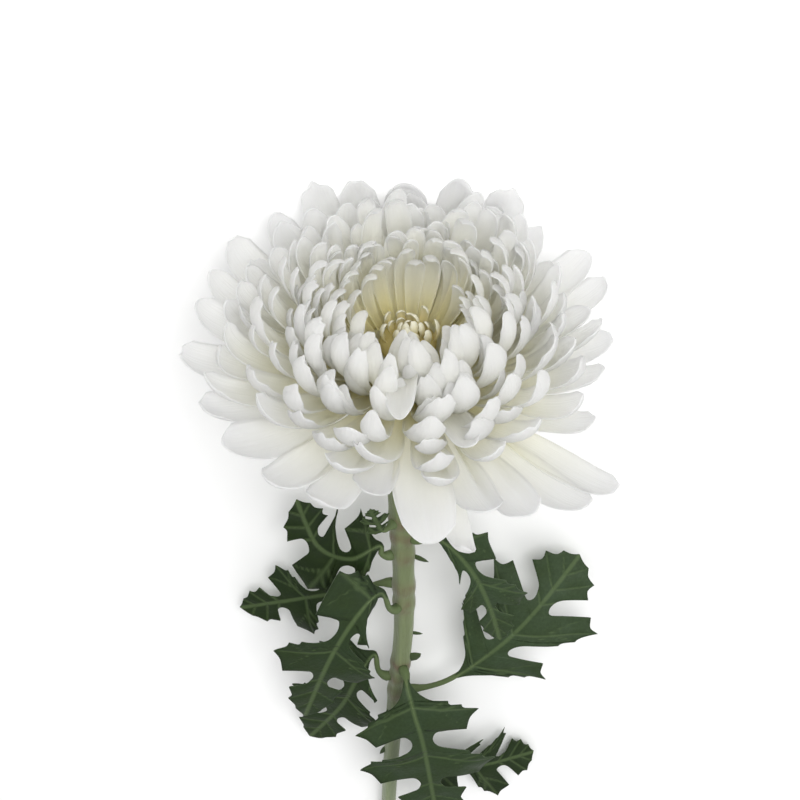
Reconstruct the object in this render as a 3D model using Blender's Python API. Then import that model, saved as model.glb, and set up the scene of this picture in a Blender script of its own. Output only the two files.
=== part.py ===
"""A cut chrysanthemum with one large white head, laid down on a flat surface.

The head is tipped up a little at the -Y end and rests on the backs of its lowest petals. The stem runs
back along +Y and slopes down until its cut end touches the surface, with nine lobed leaves round it.
The origin lies on the surface, under the flat spot of the petal that carries the head.
Every size below is a real size in millimetres times MM, so the model is in metres with +Z up.
"""

import math
import random

import bmesh
import bpy
from mathutils import Matrix, Vector

MM = 0.001
LEAF_GAP = 0.6 * MM

# The head: where its base sits, and how far its axis is tipped above the surface
HEAD_BASE = Vector((0.0, 38.5, 39.8)) * MM
HEAD_TILT = math.radians(24.0)
AXIS = Vector((0.0, -math.cos(HEAD_TILT), math.sin(HEAD_TILT)))
SIDE = Vector((-1.0, 0.0, 0.0))
DOWN = Vector((0.0, -math.sin(HEAD_TILT), -math.cos(HEAD_TILT)))

# The white core that the petals grow from, as radius and height along the head's axis
CORE_PROFILE = (
    (0.0, 0.0),
    (9.0, 0.4),
    (14.5, 2.6),
    (17.0, 5.6),
    (16.2, 8.6),
    (13.4, 11.4),
    (9.6, 12.8),
    (0.0, 12.8),
)
CORE_SIDES = 18

# A petal: stations along its length, the share of its full width at each, and its blade. The cup is how
# far its edges stand above its middle, as a share of half its width
PETAL_STATIONS = (0.0, 0.42, 0.74, 0.93)
PETAL_TIP = 1.0
PETAL_WIDTHS = (0.20, 0.60, 1.0, 0.80)
PETAL_THICKNESS = 1.0 * MM
RIM_CUP = 0.24
PETAL_CUP = 0.34
BEND_POWER = 2.0
BEND_STEPS = 40
TIP_RISE = 0.3 * MM

# Petals of the rim: direction round the head (0 is -X, 90 points at the surface), reach, height, width, bend
RIM_ROOT = (14.6, 4.4)
RIM_PETALS = (
    (-172.0, 63.0, 20.0, 12.0, 34.0),
    (-155.0, 61.0, 19.0, 12.5, 34.0),
    (-138.0, 62.0, 19.0, 13.5, 32.0),
    (-123.0, 62.0, 19.0, 12.5, 30.0),
    (-111.0, 61.0, 18.5, 12.5, 30.0),
    (-101.0, 55.0, 18.0, 11.0, 30.0),
    (-86.5, 64.0, 9.0, 15.5, -6.0),
    (-71.0, 61.0, 15.0, 11.5, 28.0),
    (-61.0, 66.0, 15.0, 11.5, 26.0),
    (-51.5, 71.0, 14.0, 11.5, 24.0),
    (-42.0, 73.0, 14.0, 10.5, 24.0),
    (-31.5, 57.0, 16.0, 10.5, 30.0),
    (-15.0, 54.5, 20.0, 11.5, 36.0),
    (-2.0, 56.5, 20.0, 12.5, 36.0),
    (18.0, 60.0, 21.0, 11.5, 36.0),
    (30.0, 61.0, 21.0, 12.5, 38.0),
    (45.0, 55.0, 24.0, 11.5, 44.0),
    (60.0, 61.0, 27.0, 14.0, 52.0),
    (75.0, 57.0, 28.0, 12.5, 66.0),
    (90.0, 53.6, 27.0, 14.0, 95.0),
    (105.0, 57.0, 28.0, 12.5, 66.0),
    (118.0, 61.0, 28.0, 12.5, 52.0),
    (133.0, 58.0, 25.0, 12.0, 44.0),
    (149.0, 61.0, 24.0, 12.5, 40.0),
    (163.0, 60.0, 23.0, 12.5, 38.0),
    (176.0, 58.5, 26.0, 11.5, 38.0),
)

# Petals that left their ranks: direction, root radius and height, reach, height, width, bend
LOOSE_PETALS = (
    (-93.0, 9.0, 11.0, 41.0, 30.5, 7.5, -80.0),
    (-78.0, 14.0, 4.0, 65.0, 8.0, 8.0, -14.0),
    (-70.0, 13.0, 9.0, 48.0, 26.0, 8.0, -20.0),
)

# The other petals stand in a spiral from the rim to the middle. Each row: place in the spiral from 0 to 1,
# then root radius, root height, reach of the tip, height of the tip, width and bend
SPIRAL_COUNT = 160
SPIRAL = (
    (0.00, 16.6, 6.2, 54.0, 23.0, 10.6, 56.0),
    (0.22, 16.0, 8.4, 45.5, 29.5, 8.8, 74.0),
    (0.50, 14.2, 10.4, 33.5, 35.0, 7.0, 92.0),
    (0.78, 12.0, 11.8, 21.0, 36.0, 5.6, 98.0),
    (1.00, 10.6, 12.4, 12.6, 30.5, 4.6, 96.0),
)
GOLDEN_ANGLE = 137.508
SPIRAL_START = 12.0
SEED = 7
JITTER_ANGLE = 4.0
JITTER_REACH = 0.09
JITTER_HEIGHT = 0.07
SWEEP = 8.0
ROOT_SINK_IN = 1.6
ROOT_SINK_DOWN = 2.1

# The cream florets of the middle, on a button of their own. Each pair of sizes is for the outermost floret
# and the one in the middle
BUTTON_PROFILE = ((0.0, 13.2), (8.0, 13.2), (8.2, 14.4), (6.6, 16.4), (3.4, 17.6), (0.0, 18.0))
BUTTON_SIDES = 16
FLORET_COUNT = 21
FLORET_STATIONS = (0.0, 0.45, 0.8)
FLORET_WIDTHS = (0.8, 1.0, 0.75)
FLORET_ROOT_RADIUS = (6.6, 1.2)
FLORET_ROOT_HEIGHT = (14.4, 17.0)
FLORET_REACH = (7.2, 0.4)
FLORET_HEIGHT = 22.0
FLORET_WIDTH = (2.9, 2.3)
FLORET_BEND = 88.0
FLORET_CUP = 0.25
FLORET_THICKNESS = 0.9 * MM
FLORET_JITTER = 1.2
FLORET_SWEEP = 12.0

# The green cup of bracts behind the core
CALYX_PROFILE = (
    (0.0, -0.35),
    (9.0, 0.0),
    (14.7, 2.1),
    (15.8, 3.0),
    (15.6, 1.0),
    (11.5, -3.2),
    (7.0, -6.0),
    (4.4, -8.5),
    (0.0, -8.5),
)
# Rows of bracts: how many, root radius and height, reach and height of the tip, width
BRACT_ROWS = ((10, 12.1, -1.6, 19.6, 1.6, 5.6), (9, 8.1, -4.6, 15.8, -2.6, 4.8))
BRACT_STATIONS = (0.0, 0.65)
BRACT_WIDTHS = (0.8, 1.0)
BRACT_BEND = 12.0
BRACT_CUP = 0.2
BRACT_THICKNESS = 0.9 * MM

# The stem: points from the head to the cut end, and its radius at the same places
STEM_POINTS = (
    (0.0, 46.7, 36.05),
    (0.5, 54.5, 32.7),
    (1.6, 65.5, 29.4),
    (2.4, 83.5, 26.4),
    (1.2, 108.0, 23.4),
    (0.8, 128.0, 21.0),
    (0.8, 144.5, 19.0),
    (1.8, 160.5, 16.9),
    (3.7, 182.5, 13.7),
    (5.6, 216.5, 8.8),
    (6.6, 240.5, 5.4),
    (6.9, 256.5, 2.72),
)
STEM_RADII = (4.3, 4.0, 3.9, 3.85, 3.8, 3.6, 3.45, 3.3, 3.15, 3.0, 2.9, 2.85)
STEM_SIDES = 10
STEM_RIDGE = 0.93
STEM_RINGS = 30
NODE_SWELLING = 0.14

# Small shoots and bracts fused to the stem: root on its middle line as a share of its length, tip, width.
# A shoot is a flat spindle: places along it with the share of its full width
SHOOT_STATIONS = ((0.15, 0.5), (0.62, 1.0), (0.84, 0.7))
SHOOT_FLATNESS = 0.35
SHOOT_FACING = Vector((0.3, 0.5, 0.8))
SHOOTS = (
    (0.115, (5.6, 78.5, 34.0), 4.6),
    (0.150, (-4.2, 90.0, 30.0), 2.8),
    (0.305, (-7.4, 113.5, 25.5), 3.4),
    (0.470, (-5.8, 147.0, 20.5), 2.6),
    (0.550, (-5.2, 156.0, 20.0), 4.6),
    (0.665, (8.4, 193.5, 16.0), 4.2),
    (0.775, (10.0, 212.0, 10.5), 2.4),
)

# Half a leaf's outline, as share of its length along the rib and to the side: two lobes and the end lobe
LEAF_OUTLINE = (
    (0.02, 0.025),
    (0.08, 0.05),
    (0.14, 0.11),
    (0.187, 0.20),
    (0.218, 0.26),
    (0.27, 0.29),
    (0.31, 0.35),
    (0.34, 0.28),
    (0.375, 0.25),
    (0.334, 0.16),
    (0.31, 0.085),
    (0.368, 0.065),
    (0.445, 0.14),
    (0.50, 0.25),
    (0.532, 0.31),
    (0.59, 0.33),
    (0.66, 0.39),
    (0.69, 0.31),
    (0.72, 0.28),
    (0.676, 0.18),
    (0.636, 0.085),
    (0.695, 0.063),
    (0.762, 0.125),
    (0.80, 0.20),
    (0.87, 0.16),
    (0.91, 0.16),
    (0.95, 0.08),
)
RIB_SLANT = 0.47
RIB_STEP = 0.006
LEAF_THICKNESS = 0.8 * MM
RIB_DEPTH = 1.5 * MM
PETIOLE_WIDTH = 1.15 * MM
PETIOLE_DEPTH = 1.9 * MM
PETIOLE_STATIONS = 4
PETIOLE_START = 3.0 * MM
PETIOLE_EDGE = 0.3
LEAF_WAVE = 0.020
LEAF_WAVES = 15.0
LEAF_TIP = 0.4
RIB_SAMPLES = 160
STALK_WINDOW = 3
BLADE_WINDOW = 34
WINDOW_GROWTH = 0.08

# Leaves: share of the stem's length where each grows, its rib's points, share of the rib that is bare,
# size of the right and left half, how far the lobes turn out, droop of the margins, turn about the rib
LEAVES = {
    "leaf_upper_left": (
        0.30, ((9.0, 106.6, 26.0), (18.5, 111.0, 27.0), (29.5, 108.6, 23.0), (36.6, 94.0, 17.5)),
        0.13, 0.98, 0.98, 0.25, 0.25, 6.0,
    ),
    "leaf_left": (
        0.37, ((11.9, 128.5, 18.0), (24.8, 133.3, 15.0), (41.1, 139.6, 10.5), (60.3, 146.9, 5.0)),
        0.20, 0.74, 0.92, 0.3, 0.20, 0.0,
    ),
    "leaf_front_left": (
        0.40, ((8.6, 120.7, 32.5), (16.7, 126.6, 38.0), (26.2, 145.6, 36.8), (36.4, 179.0, 26.0)),
        0.15, 0.60, 0.62, 0.34, 0.36, -6.0,
    ),
    "leaf_lower_left": (
        0.59, ((11.4, 157.4, 18.5), (17.3, 166.0, 21.0), (24.1, 183.5, 16.0), (36.9, 206.1, 7.0)),
        0.17, 0.80, 0.68, 0.2, 0.25, 6.0,
    ),
    "leaf_front": (
        0.54, ((-0.6, 165.6, 27.7), (-3.0, 174.5, 31.3), (-6.4, 190.0, 30.2), (-12.4, 236.8, 20.4)),
        0.05, 0.82, 0.80, 0.32, 0.25, 0.0,
    ),
    "leaf_lower_right": (
        0.74, ((-3.8, 205.5, 9.0), (-13.8, 218.0, 7.5), (-28.6, 221.8, 6.0), (-50.2, 217.6, 2.8)),
        0.335, 1.05, 1.02, -0.1, 0.10, 0.0,
    ),
    "leaf_upper_right": (
        0.27, ((-10.1, 100.4, 31.0), (-19.9, 109.1, 34.0), (-27.2, 125.6, 31.0), (-32.5, 146.0, 25.0)),
        0.10, 0.48, 0.56, 0.1, 0.30, 8.0,
    ),
    "leaf_right": (
        0.62, ((-16.1, 173.2, 13.5), (-34.4, 153.7, 17.0), (-47.0, 138.7, 15.0), (-60.6, 121.8, 8.5)),
        0.22, 0.95, 0.95, -0.15, 0.20, 0.0,
    ),
    "leaf_small": (
        0.245, ((8.4, 95.9, 32.4), (11.6, 85.8, 37.0)),
        0.20, 0.9, 0.9, 0.1, 0.2, 0.0,
    ),
}


def smooth_path(points, count):
    """Points spaced evenly along a smooth curve through the given ones."""
    dense = []
    last = len(points) - 1
    for i in range(last):
        before = points[max(i - 1, 0)]
        start = points[i]
        end = points[i + 1]
        after = points[min(i + 2, last)]
        for step in range(16):
            t = step / 16.0
            dense.append(
                0.5
                * (
                    2.0 * start
                    + (end - before) * t
                    + (2.0 * before - 5.0 * start + 4.0 * end - after) * t * t
                    + (3.0 * start - 3.0 * end + after - before) * t * t * t
                )
            )
    dense.append(points[last].copy())
    lengths = [0.0]
    for i in range(1, len(dense)):
        lengths.append(lengths[-1] + (dense[i] - dense[i - 1]).length)
    path = []
    segment = 0
    for k in range(count):
        target = lengths[-1] * k / (count - 1)
        while segment < len(dense) - 2 and lengths[segment + 1] < target:
            segment += 1
        span = lengths[segment + 1] - lengths[segment]
        share = (target - lengths[segment]) / span
        path.append(dense[segment].lerp(dense[segment + 1], share))
    return path


def interpolate(table, x):
    """A row of the table at x, straight between its rows, without the first column."""
    for low, high in zip(table, table[1:]):
        if x <= high[0]:
            share = (x - low[0]) / (high[0] - low[0])
            return [a + (b - a) * share for a, b in zip(low[1:], high[1:])]
    return list(table[-1][1:])


def stem_ring(share):
    """The ring of the stem nearest to a share of its length."""
    return round(share * (STEM_RINGS - 1))


def stem_radius(ring):
    """The stem's radius at a ring, thicker where a leaf grows."""
    place = ring / (STEM_RINGS - 1)
    table = [(i / (len(STEM_RADII) - 1), radius) for i, radius in enumerate(STEM_RADII)]
    nodes = [stem_ring(leaf[0]) for leaf in LEAVES.values()]
    swelling = NODE_SWELLING if ring in nodes else 0.0
    return interpolate(table, place)[0] * MM * (1.0 + swelling)


def between(pair, x):
    """From the first of a pair at 0 to the second at 1."""
    return pair[0] + (pair[1] - pair[0]) * x


def head_point(radius, angle, height):
    """A place in the head: distance from its axis, direction round it in radians, and height along it."""
    return HEAD_BASE + radius * (math.cos(angle) * SIDE + math.sin(angle) * DOWN) + height * AXIS


def make_material(name, colour, roughness):
    """A plain matt material."""
    material = bpy.data.materials.new(name)
    material.use_nodes = True
    shader = material.node_tree.nodes["Principled BSDF"]
    shader.inputs["Base Color"].default_value = (*colour, 1.0)
    shader.inputs["Roughness"].default_value = roughness
    shader.inputs["Metallic"].default_value = 0.0
    return material


def make_object(name, bm, material=None, collection=None):
    """A new object from a bmesh, with its faces pointing out."""
    bmesh.ops.recalc_face_normals(bm, faces=bm.faces)
    mesh = bpy.data.meshes.new(name)
    bm.to_mesh(mesh)
    bm.free()
    if material:
        mesh.materials.append(material)
    piece = bpy.data.objects.new(name, mesh)
    (collection or bpy.context.scene.collection).objects.link(piece)
    return piece


def loft(bm, rings, apex=None):
    """Faces joining rings of points in order, with a cap at the start and an apex or a cap at the end."""
    loops = [[bm.verts.new(point) for point in ring] for ring in rings]
    size = len(loops[0])
    for lower, upper in zip(loops, loops[1:]):
        for i in range(size):
            j = (i + 1) % size
            bm.faces.new((lower[i], lower[j], upper[j]))
            bm.faces.new((lower[i], upper[j], upper[i]))
    bm.faces.new(list(reversed(loops[0])))
    if apex is None:
        bm.faces.new(loops[-1])
    else:
        tip = bm.verts.new(apex)
        for i in range(size):
            bm.faces.new((loops[-1][i], loops[-1][(i + 1) % size], tip))


def turn_profile(bm, profile, sides):
    """A closed turned body round the head's axis. The profile starts and ends on the axis."""
    first = bm.verts.new(head_point(0.0, 0.0, profile[0][1] * MM))
    last = bm.verts.new(head_point(0.0, 0.0, profile[-1][1] * MM))
    rings = []
    for radius, height in profile[1:-1]:
        angles = [math.tau * i / sides for i in range(sides)]
        rings.append([bm.verts.new(head_point(radius * MM, angle, height * MM)) for angle in angles])
    for i in range(sides):
        j = (i + 1) % sides
        bm.faces.new((first, rings[0][i], rings[0][j]))
        bm.faces.new((last, rings[-1][j], rings[-1][i]))
        for lower, upper in zip(rings, rings[1:]):
            bm.faces.new((lower[i], upper[i], upper[j]))
            bm.faces.new((lower[i], upper[j], lower[j]))


def bent_line(bend, stations):
    """Places along a line of length 1 that starts level and turns up by bend, most near its end."""
    places = []
    for station in stations:
        x = 0.0
        y = 0.0
        for k in range(BEND_STEPS):
            angle = bend * (station * (k + 0.5) / BEND_STEPS) ** BEND_POWER
            x += math.cos(angle) * station / BEND_STEPS
            y += math.sin(angle) * station / BEND_STEPS
        places.append((x, y, bend * station**BEND_POWER))
    return places


def blade(root, tip, width, bend, angle, sweep, stations, widths, thickness, cup):
    """A petal as rings of four points and an apex: a trough, open to the middle of the head.

    root and tip are radius and height. The petal leaves the root so that, turning by bend on the way, it
    ends at the tip. sweep carries its end round the head.
    """
    line = bent_line(bend, (*stations, PETAL_TIP))
    end_x, end_y, _ = line[-1]
    run = tip[0] - root[0]
    rise = tip[1] - root[1]
    length = math.hypot(run, rise) / math.hypot(end_x, end_y)
    launch = math.atan2(rise, run) - math.atan2(end_y, end_x)
    rings = []
    for (x, y, turn), t, share in zip(line, (*stations, PETAL_TIP), (*widths, 0.0)):
        radius = root[0] + length * (x * math.cos(launch) - y * math.sin(launch))
        height = root[1] + length * (x * math.sin(launch) + y * math.cos(launch))
        heading = angle + sweep * t * t
        slope = launch + turn
        outward = math.cos(heading) * SIDE + math.sin(heading) * DOWN
        across = math.cos(heading) * DOWN - math.sin(heading) * SIDE
        inner = math.cos(slope) * AXIS - math.sin(slope) * outward
        centre = head_point(radius, heading, height)
        half = 0.5 * width * share
        lift = cup * half
        if share == 0.0:
            return rings, centre + (TIP_RISE - 0.5 * thickness) * inner
        rings.append(
            [
                centre - half * across + lift * inner,
                centre,
                centre + half * across + lift * inner,
                centre - thickness * inner,
            ]
        )


def add_blade(collection, name, *shape):
    """One blade as a closed piece of its own, ready to be fused."""
    bm = bmesh.new()
    rings, apex = blade(*shape)
    loft(bm, rings, apex)
    bmesh.ops.triangulate(bm, faces=bm.faces)
    return make_object(name, bm, collection=collection)


def fuse(body, collection):
    """Join a collection of closed pieces to the body they grow from, and remove the collection."""
    union = body.modifiers.new("Union", "BOOLEAN")
    union.operation = "UNION"
    union.operand_type = "COLLECTION"
    union.collection = collection
    union.solver = "MANIFOLD"
    apply_modifiers(body)
    for piece in list(collection.objects):
        bpy.data.objects.remove(piece)
    bpy.data.collections.remove(collection)


def apply_modifiers(body):
    """Turn the body's modifiers into its own mesh."""
    graph = bpy.context.evaluated_depsgraph_get()
    mesh = bpy.data.meshes.new_from_object(body.evaluated_get(graph))
    body.modifiers.clear()
    old = body.data
    body.data = mesh
    mesh.name = old.name + "_joined"
    bpy.data.meshes.remove(old)


def keep_largest_shell(body):
    """Drop loose scraps and the walls of sealed hollows, so that one closed skin is left."""
    bm = bmesh.new()
    bm.from_mesh(body.data)
    unseen = set(bm.verts)
    shells = []
    while unseen:
        seed = unseen.pop()
        shell = [seed]
        for vert in shell:
            for edge in vert.link_edges:
                other = edge.other_vert(vert)
                if other in unseen:
                    unseen.discard(other)
                    shell.append(other)
        shells.append(shell)
    shells.sort(key=len)
    for shell in shells[:-1]:
        bmesh.ops.delete(bm, geom=shell, context="VERTS")
    bmesh.ops.triangulate(bm, faces=bm.faces)
    bm.to_mesh(body.data)
    bm.free()


def cut_at_surface(body):
    """Shave what dips below the surface, which leaves small flat spots where the piece rests."""
    bm = bmesh.new()
    bmesh.ops.create_cube(bm, size=1.0)
    bmesh.ops.translate(bm, verts=bm.verts, vec=(0.0, 0.0, -0.5))
    slab = make_object("slab", bm)
    cut = body.modifiers.new("Cut", "BOOLEAN")
    cut.operation = "DIFFERENCE"
    cut.object = slab
    cut.solver = "MANIFOLD"
    apply_modifiers(body)
    bpy.data.objects.remove(slab)


def build_ray_florets():
    """The white petals in their layers, joined to the core that they grow from."""
    bm = bmesh.new()
    turn_profile(bm, CORE_PROFILE, CORE_SIDES)
    head = make_object("ray_florets", bm, make_material("white_petal", (0.86, 0.86, 0.80), 0.55))
    petals = bpy.data.collections.new("petals")
    bpy.context.scene.collection.children.link(petals)
    for i, (direction, reach, height, width, bend) in enumerate(RIM_PETALS):
        add_blade(
            petals,
            f"rim_petal_{i}",
            (RIM_ROOT[0] * MM, RIM_ROOT[1] * MM),
            (reach * MM, height * MM),
            width * MM,
            math.radians(bend),
            math.radians(direction),
            0.0,
            PETAL_STATIONS,
            PETAL_WIDTHS,
            PETAL_THICKNESS,
            RIM_CUP,
        )
    for i, (direction, root_radius, root_height, reach, height, width, bend) in enumerate(LOOSE_PETALS):
        add_blade(
            petals,
            f"loose_petal_{i}",
            (root_radius * MM, root_height * MM),
            (reach * MM, height * MM),
            width * MM,
            math.radians(bend),
            math.radians(direction),
            0.0,
            PETAL_STATIONS,
            PETAL_WIDTHS,
            PETAL_THICKNESS,
            RIM_CUP,
        )
    draw = random.Random(SEED)
    for i in range(SPIRAL_COUNT):
        x = i / (SPIRAL_COUNT - 1)
        root_radius, root_height, reach, height, width, bend = interpolate(SPIRAL, x)
        direction = SPIRAL_START + GOLDEN_ANGLE * i + draw.uniform(-JITTER_ANGLE, JITTER_ANGLE)
        reach *= 1.0 + draw.uniform(-JITTER_REACH, JITTER_REACH)
        height *= 1.0 + draw.uniform(-JITTER_HEIGHT, JITTER_HEIGHT)
        add_blade(
            petals,
            f"petal_{i}",
            ((root_radius - ROOT_SINK_IN) * MM, (root_height - ROOT_SINK_DOWN) * MM),
            (reach * MM, height * MM),
            width * MM,
            math.radians(bend),
            math.radians(direction),
            math.radians(draw.uniform(-SWEEP, SWEEP)),
            PETAL_STATIONS,
            PETAL_WIDTHS,
            PETAL_THICKNESS,
            PETAL_CUP,
        )
    fuse(head, petals)
    cut_at_surface(head)
    keep_largest_shell(head)
    return head


def build_centre_florets():
    """The small cream florets, curled in over the middle."""
    bm = bmesh.new()
    turn_profile(bm, BUTTON_PROFILE, BUTTON_SIDES)
    button = make_object("centre_florets", bm, make_material("cream_floret", (0.80, 0.74, 0.48), 0.6))
    florets = bpy.data.collections.new("florets")
    bpy.context.scene.collection.children.link(florets)
    draw = random.Random(SEED + 1)
    for i in range(FLORET_COUNT):
        x = i / (FLORET_COUNT - 1)
        root = (between(FLORET_ROOT_RADIUS, x) * MM, between(FLORET_ROOT_HEIGHT, x) * MM)
        height = FLORET_HEIGHT + draw.uniform(-FLORET_JITTER, FLORET_JITTER)
        add_blade(
            florets,
            f"floret_{i}",
            root,
            (between(FLORET_REACH, x) * MM, height * MM),
            between(FLORET_WIDTH, x) * MM,
            math.radians(FLORET_BEND),
            math.radians(GOLDEN_ANGLE * i),
            math.radians(draw.uniform(-FLORET_SWEEP, FLORET_SWEEP)),
            FLORET_STATIONS,
            FLORET_WIDTHS,
            FLORET_THICKNESS,
            FLORET_CUP,
        )
    fuse(button, florets)
    keep_largest_shell(button)
    return button


def build_calyx():
    """The green cup behind the petals, with two rows of pointed bracts."""
    bm = bmesh.new()
    turn_profile(bm, CALYX_PROFILE, CORE_SIDES)
    cup = make_object("calyx", bm, make_material("calyx_green", (0.22, 0.33, 0.10), 0.6))
    bracts = bpy.data.collections.new("bracts")
    bpy.context.scene.collection.children.link(bracts)
    for row, (count, root_radius, root_height, reach, height, width) in enumerate(BRACT_ROWS):
        for i in range(count):
            add_blade(
                bracts,
                f"bract_{row}_{i}",
                (root_radius * MM, root_height * MM),
                (reach * MM, height * MM),
                width * MM,
                math.radians(BRACT_BEND),
                math.tau * (i + 0.5 * row) / count,
                0.0,
                BRACT_STATIONS,
                BRACT_WIDTHS,
                BRACT_THICKNESS,
                BRACT_CUP,
            )
    fuse(cup, bracts)
    keep_largest_shell(cup)
    return cup


def build_stem():
    """The ridged stem, a little thicker at the nodes where leaves grow."""
    path = smooth_path([Vector(point) * MM for point in STEM_POINTS], STEM_RINGS)
    rings = []
    for k, centre in enumerate(path):
        before = path[max(k - 1, 0)]
        after = path[min(k + 1, STEM_RINGS - 1)]
        along = (after - before).normalized()
        across = along.cross(Vector((0.0, 0.0, 1.0))).normalized()
        upward = across.cross(along)
        ring = []
        for i in range(STEM_SIDES):
            angle = math.tau * i / STEM_SIDES
            radius = stem_radius(k) * (STEM_RIDGE if i % 2 else 1.0)
            ring.append(centre + radius * (math.cos(angle) * across + math.sin(angle) * upward))
        rings.append(ring)
    bm = bmesh.new()
    loft(bm, rings)
    bmesh.ops.triangulate(bm, faces=bm.faces)
    stem = make_object("stem", bm, make_material("stem_green", (0.13, 0.17, 0.07), 0.55))
    fuse(stem, add_shoots(path))
    keep_largest_shell(stem)
    return path


def add_shoots(stem_path):
    """Small pointed buds and bracts, rooted on the stem's middle line."""
    shoots = bpy.data.collections.new("shoots")
    bpy.context.scene.collection.children.link(shoots)
    for i, (share, tip, width) in enumerate(SHOOTS):
        root = stem_path[stem_ring(share)]
        end = Vector(tip) * MM
        along = (end - root).normalized()
        across = along.cross(SHOOT_FACING).normalized()
        flat = SHOOT_FLATNESS * across.cross(along)
        rings = []
        for place, size in SHOOT_STATIONS:
            centre = root.lerp(end, place)
            half = 0.5 * width * MM * size
            ring = [centre + half * way for way in (across, flat, -across, -flat)]
            rings.append(ring)
        bm = bmesh.new()
        loft(bm, rings, end)
        bmesh.ops.triangulate(bm, faces=bm.faces)
        make_object(f"shoot_{i}", bm, collection=shoots)
    return shoots


def leaf_stations():
    """Where each outline point of half a leaf joins the rib: further back the further out it lies."""
    stations = []
    last = 0.0
    for along, out in LEAF_OUTLINE:
        last = max(along - RIB_SLANT * out, last + RIB_STEP)
        stations.append(last)
    return stations


def build_leaf(name, stem_path, share, points, bare, right, left, spread, droop, turn):
    """One lobed leaf: a stalk, then a thin blade that bends along its rib, with both faces split alike."""
    foot_at = stem_ring(share)
    foot = stem_path[foot_at]
    stem_along = (stem_path[foot_at + 1] - stem_path[foot_at - 1]).normalized()
    first = Vector(points[0]) * MM
    outward = first - foot
    outward = (outward - outward.dot(stem_along) * stem_along).normalized()
    start = foot + outward * (stem_radius(foot_at) + LEAF_GAP)
    route = [start, start + outward * PETIOLE_START] + [Vector(point) * MM for point in points]
    rib = smooth_path(route, RIB_SAMPLES + 1)
    length = sum((b - a).length for a, b in zip(rib, rib[1:]))
    blade_length = length * (1.0 - bare)

    def rib_frame(station):
        """A place on the rib, where 0 starts the blade, and the directions along it, to its right and up."""
        place = min(max((bare + (1.0 - bare) * station) * RIB_SAMPLES, 0.0), RIB_SAMPLES)
        low = min(int(place), RIB_SAMPLES - 1)
        point = rib[low].lerp(rib[low + 1], place - low)
        window = round(between((STALK_WINDOW, BLADE_WINDOW), min(max(station / WINDOW_GROWTH, 0.0), 1.0)))
        ahead = rib[min(low + window, RIB_SAMPLES)]
        behind = rib[max(low - window, 0)]
        along = (ahead - behind).normalized()
        across = along.cross(Vector((0.0, 0.0, 1.0))).normalized()
        across = Matrix.Rotation(math.radians(turn), 3, along) @ across
        return point, along, across, across.cross(along)

    bare_stations = [-bare / (1.0 - bare) * (1.0 - i / PETIOLE_STATIONS) for i in range(PETIOLE_STATIONS)]
    stations = bare_stations + leaf_stations()
    outlines = [(station, None) for station in bare_stations] + list(LEAF_OUTLINE)
    bm = bmesh.new()
    columns = {"rib": [], 1.0: [], -1.0: []}
    for k, (station, (along_share, out_share)) in enumerate(zip(stations, outlines)):
        point, along, across, upward = rib_frame(station)
        stalk = out_share is None
        top = 0.5 * (PETIOLE_DEPTH if stalk else LEAF_THICKNESS)
        bottom = top if stalk else RIB_DEPTH - top
        columns["rib"].append((bm.verts.new(point + top * upward), bm.verts.new(point - bottom * upward)))
        for side, size in ((1.0, right), (-1.0, left)):
            if stalk:
                edge = point + side * PETIOLE_WIDTH * across
                half = PETIOLE_EDGE * PETIOLE_DEPTH
            else:
                out = size * out_share
                ahead = along_share - spread * out - station
                wave = LEAF_WAVE * math.sin(LEAF_WAVES * along_share + side + 3.0 * out) * min(1.0, 4.0 * out)
                sag = wave - droop * out * out
                edge = point + blade_length * (ahead * along + side * out * across + sag * upward)
                half = 0.5 * LEAF_THICKNESS
            columns[side].append((bm.verts.new(edge + half * upward), bm.verts.new(edge - half * upward)))
    point, along, across, upward = rib_frame(1.0)
    half = LEAF_TIP * LEAF_THICKNESS
    tip = (bm.verts.new(point + half * upward), bm.verts.new(point - half * upward))
    for side in (1.0, -1.0):
        ribs = columns["rib"] + [tip]
        edges = columns[side] + [tip]
        for k in range(len(ribs) - 1):
            for face in (0, 1):
                bm.faces.new((ribs[k][face], ribs[k + 1][face], edges[k][face]))
                if k < len(ribs) - 2:
                    bm.faces.new((edges[k][face], ribs[k + 1][face], edges[k + 1][face]))
            bm.faces.new((edges[k][0], edges[k + 1][0], edges[k][1]))
            bm.faces.new((edges[k][1], edges[k + 1][0], edges[k + 1][1]))
        bm.faces.new((ribs[0][0], edges[0][0], ribs[0][1]))
        bm.faces.new((ribs[0][1], edges[0][0], edges[0][1]))
    return make_object(name, bm, make_material(name + "_green", (0.045, 0.07, 0.035), 0.5))


def remove_everything():
    """Clear the scene's objects."""
    for piece in list(bpy.data.objects):
        bpy.data.objects.remove(piece)


remove_everything()
build_ray_florets()
build_centre_florets()
build_calyx()
stem_path = build_stem()
for leaf_name, (leaf_share, *leaf_form) in LEAVES.items():
    build_leaf(leaf_name, stem_path, leaf_share, *leaf_form)
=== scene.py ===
"""A cut white chrysanthemum lying on a pale floor: the finished surfaces round its CAD model.

The head is tipped up at the -Y end and its stem runs back along +Y. Places are in metres, with +Z up.
"""

import math
import random

import bpy
import numpy as np
from mathutils import Matrix, Vector


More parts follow.
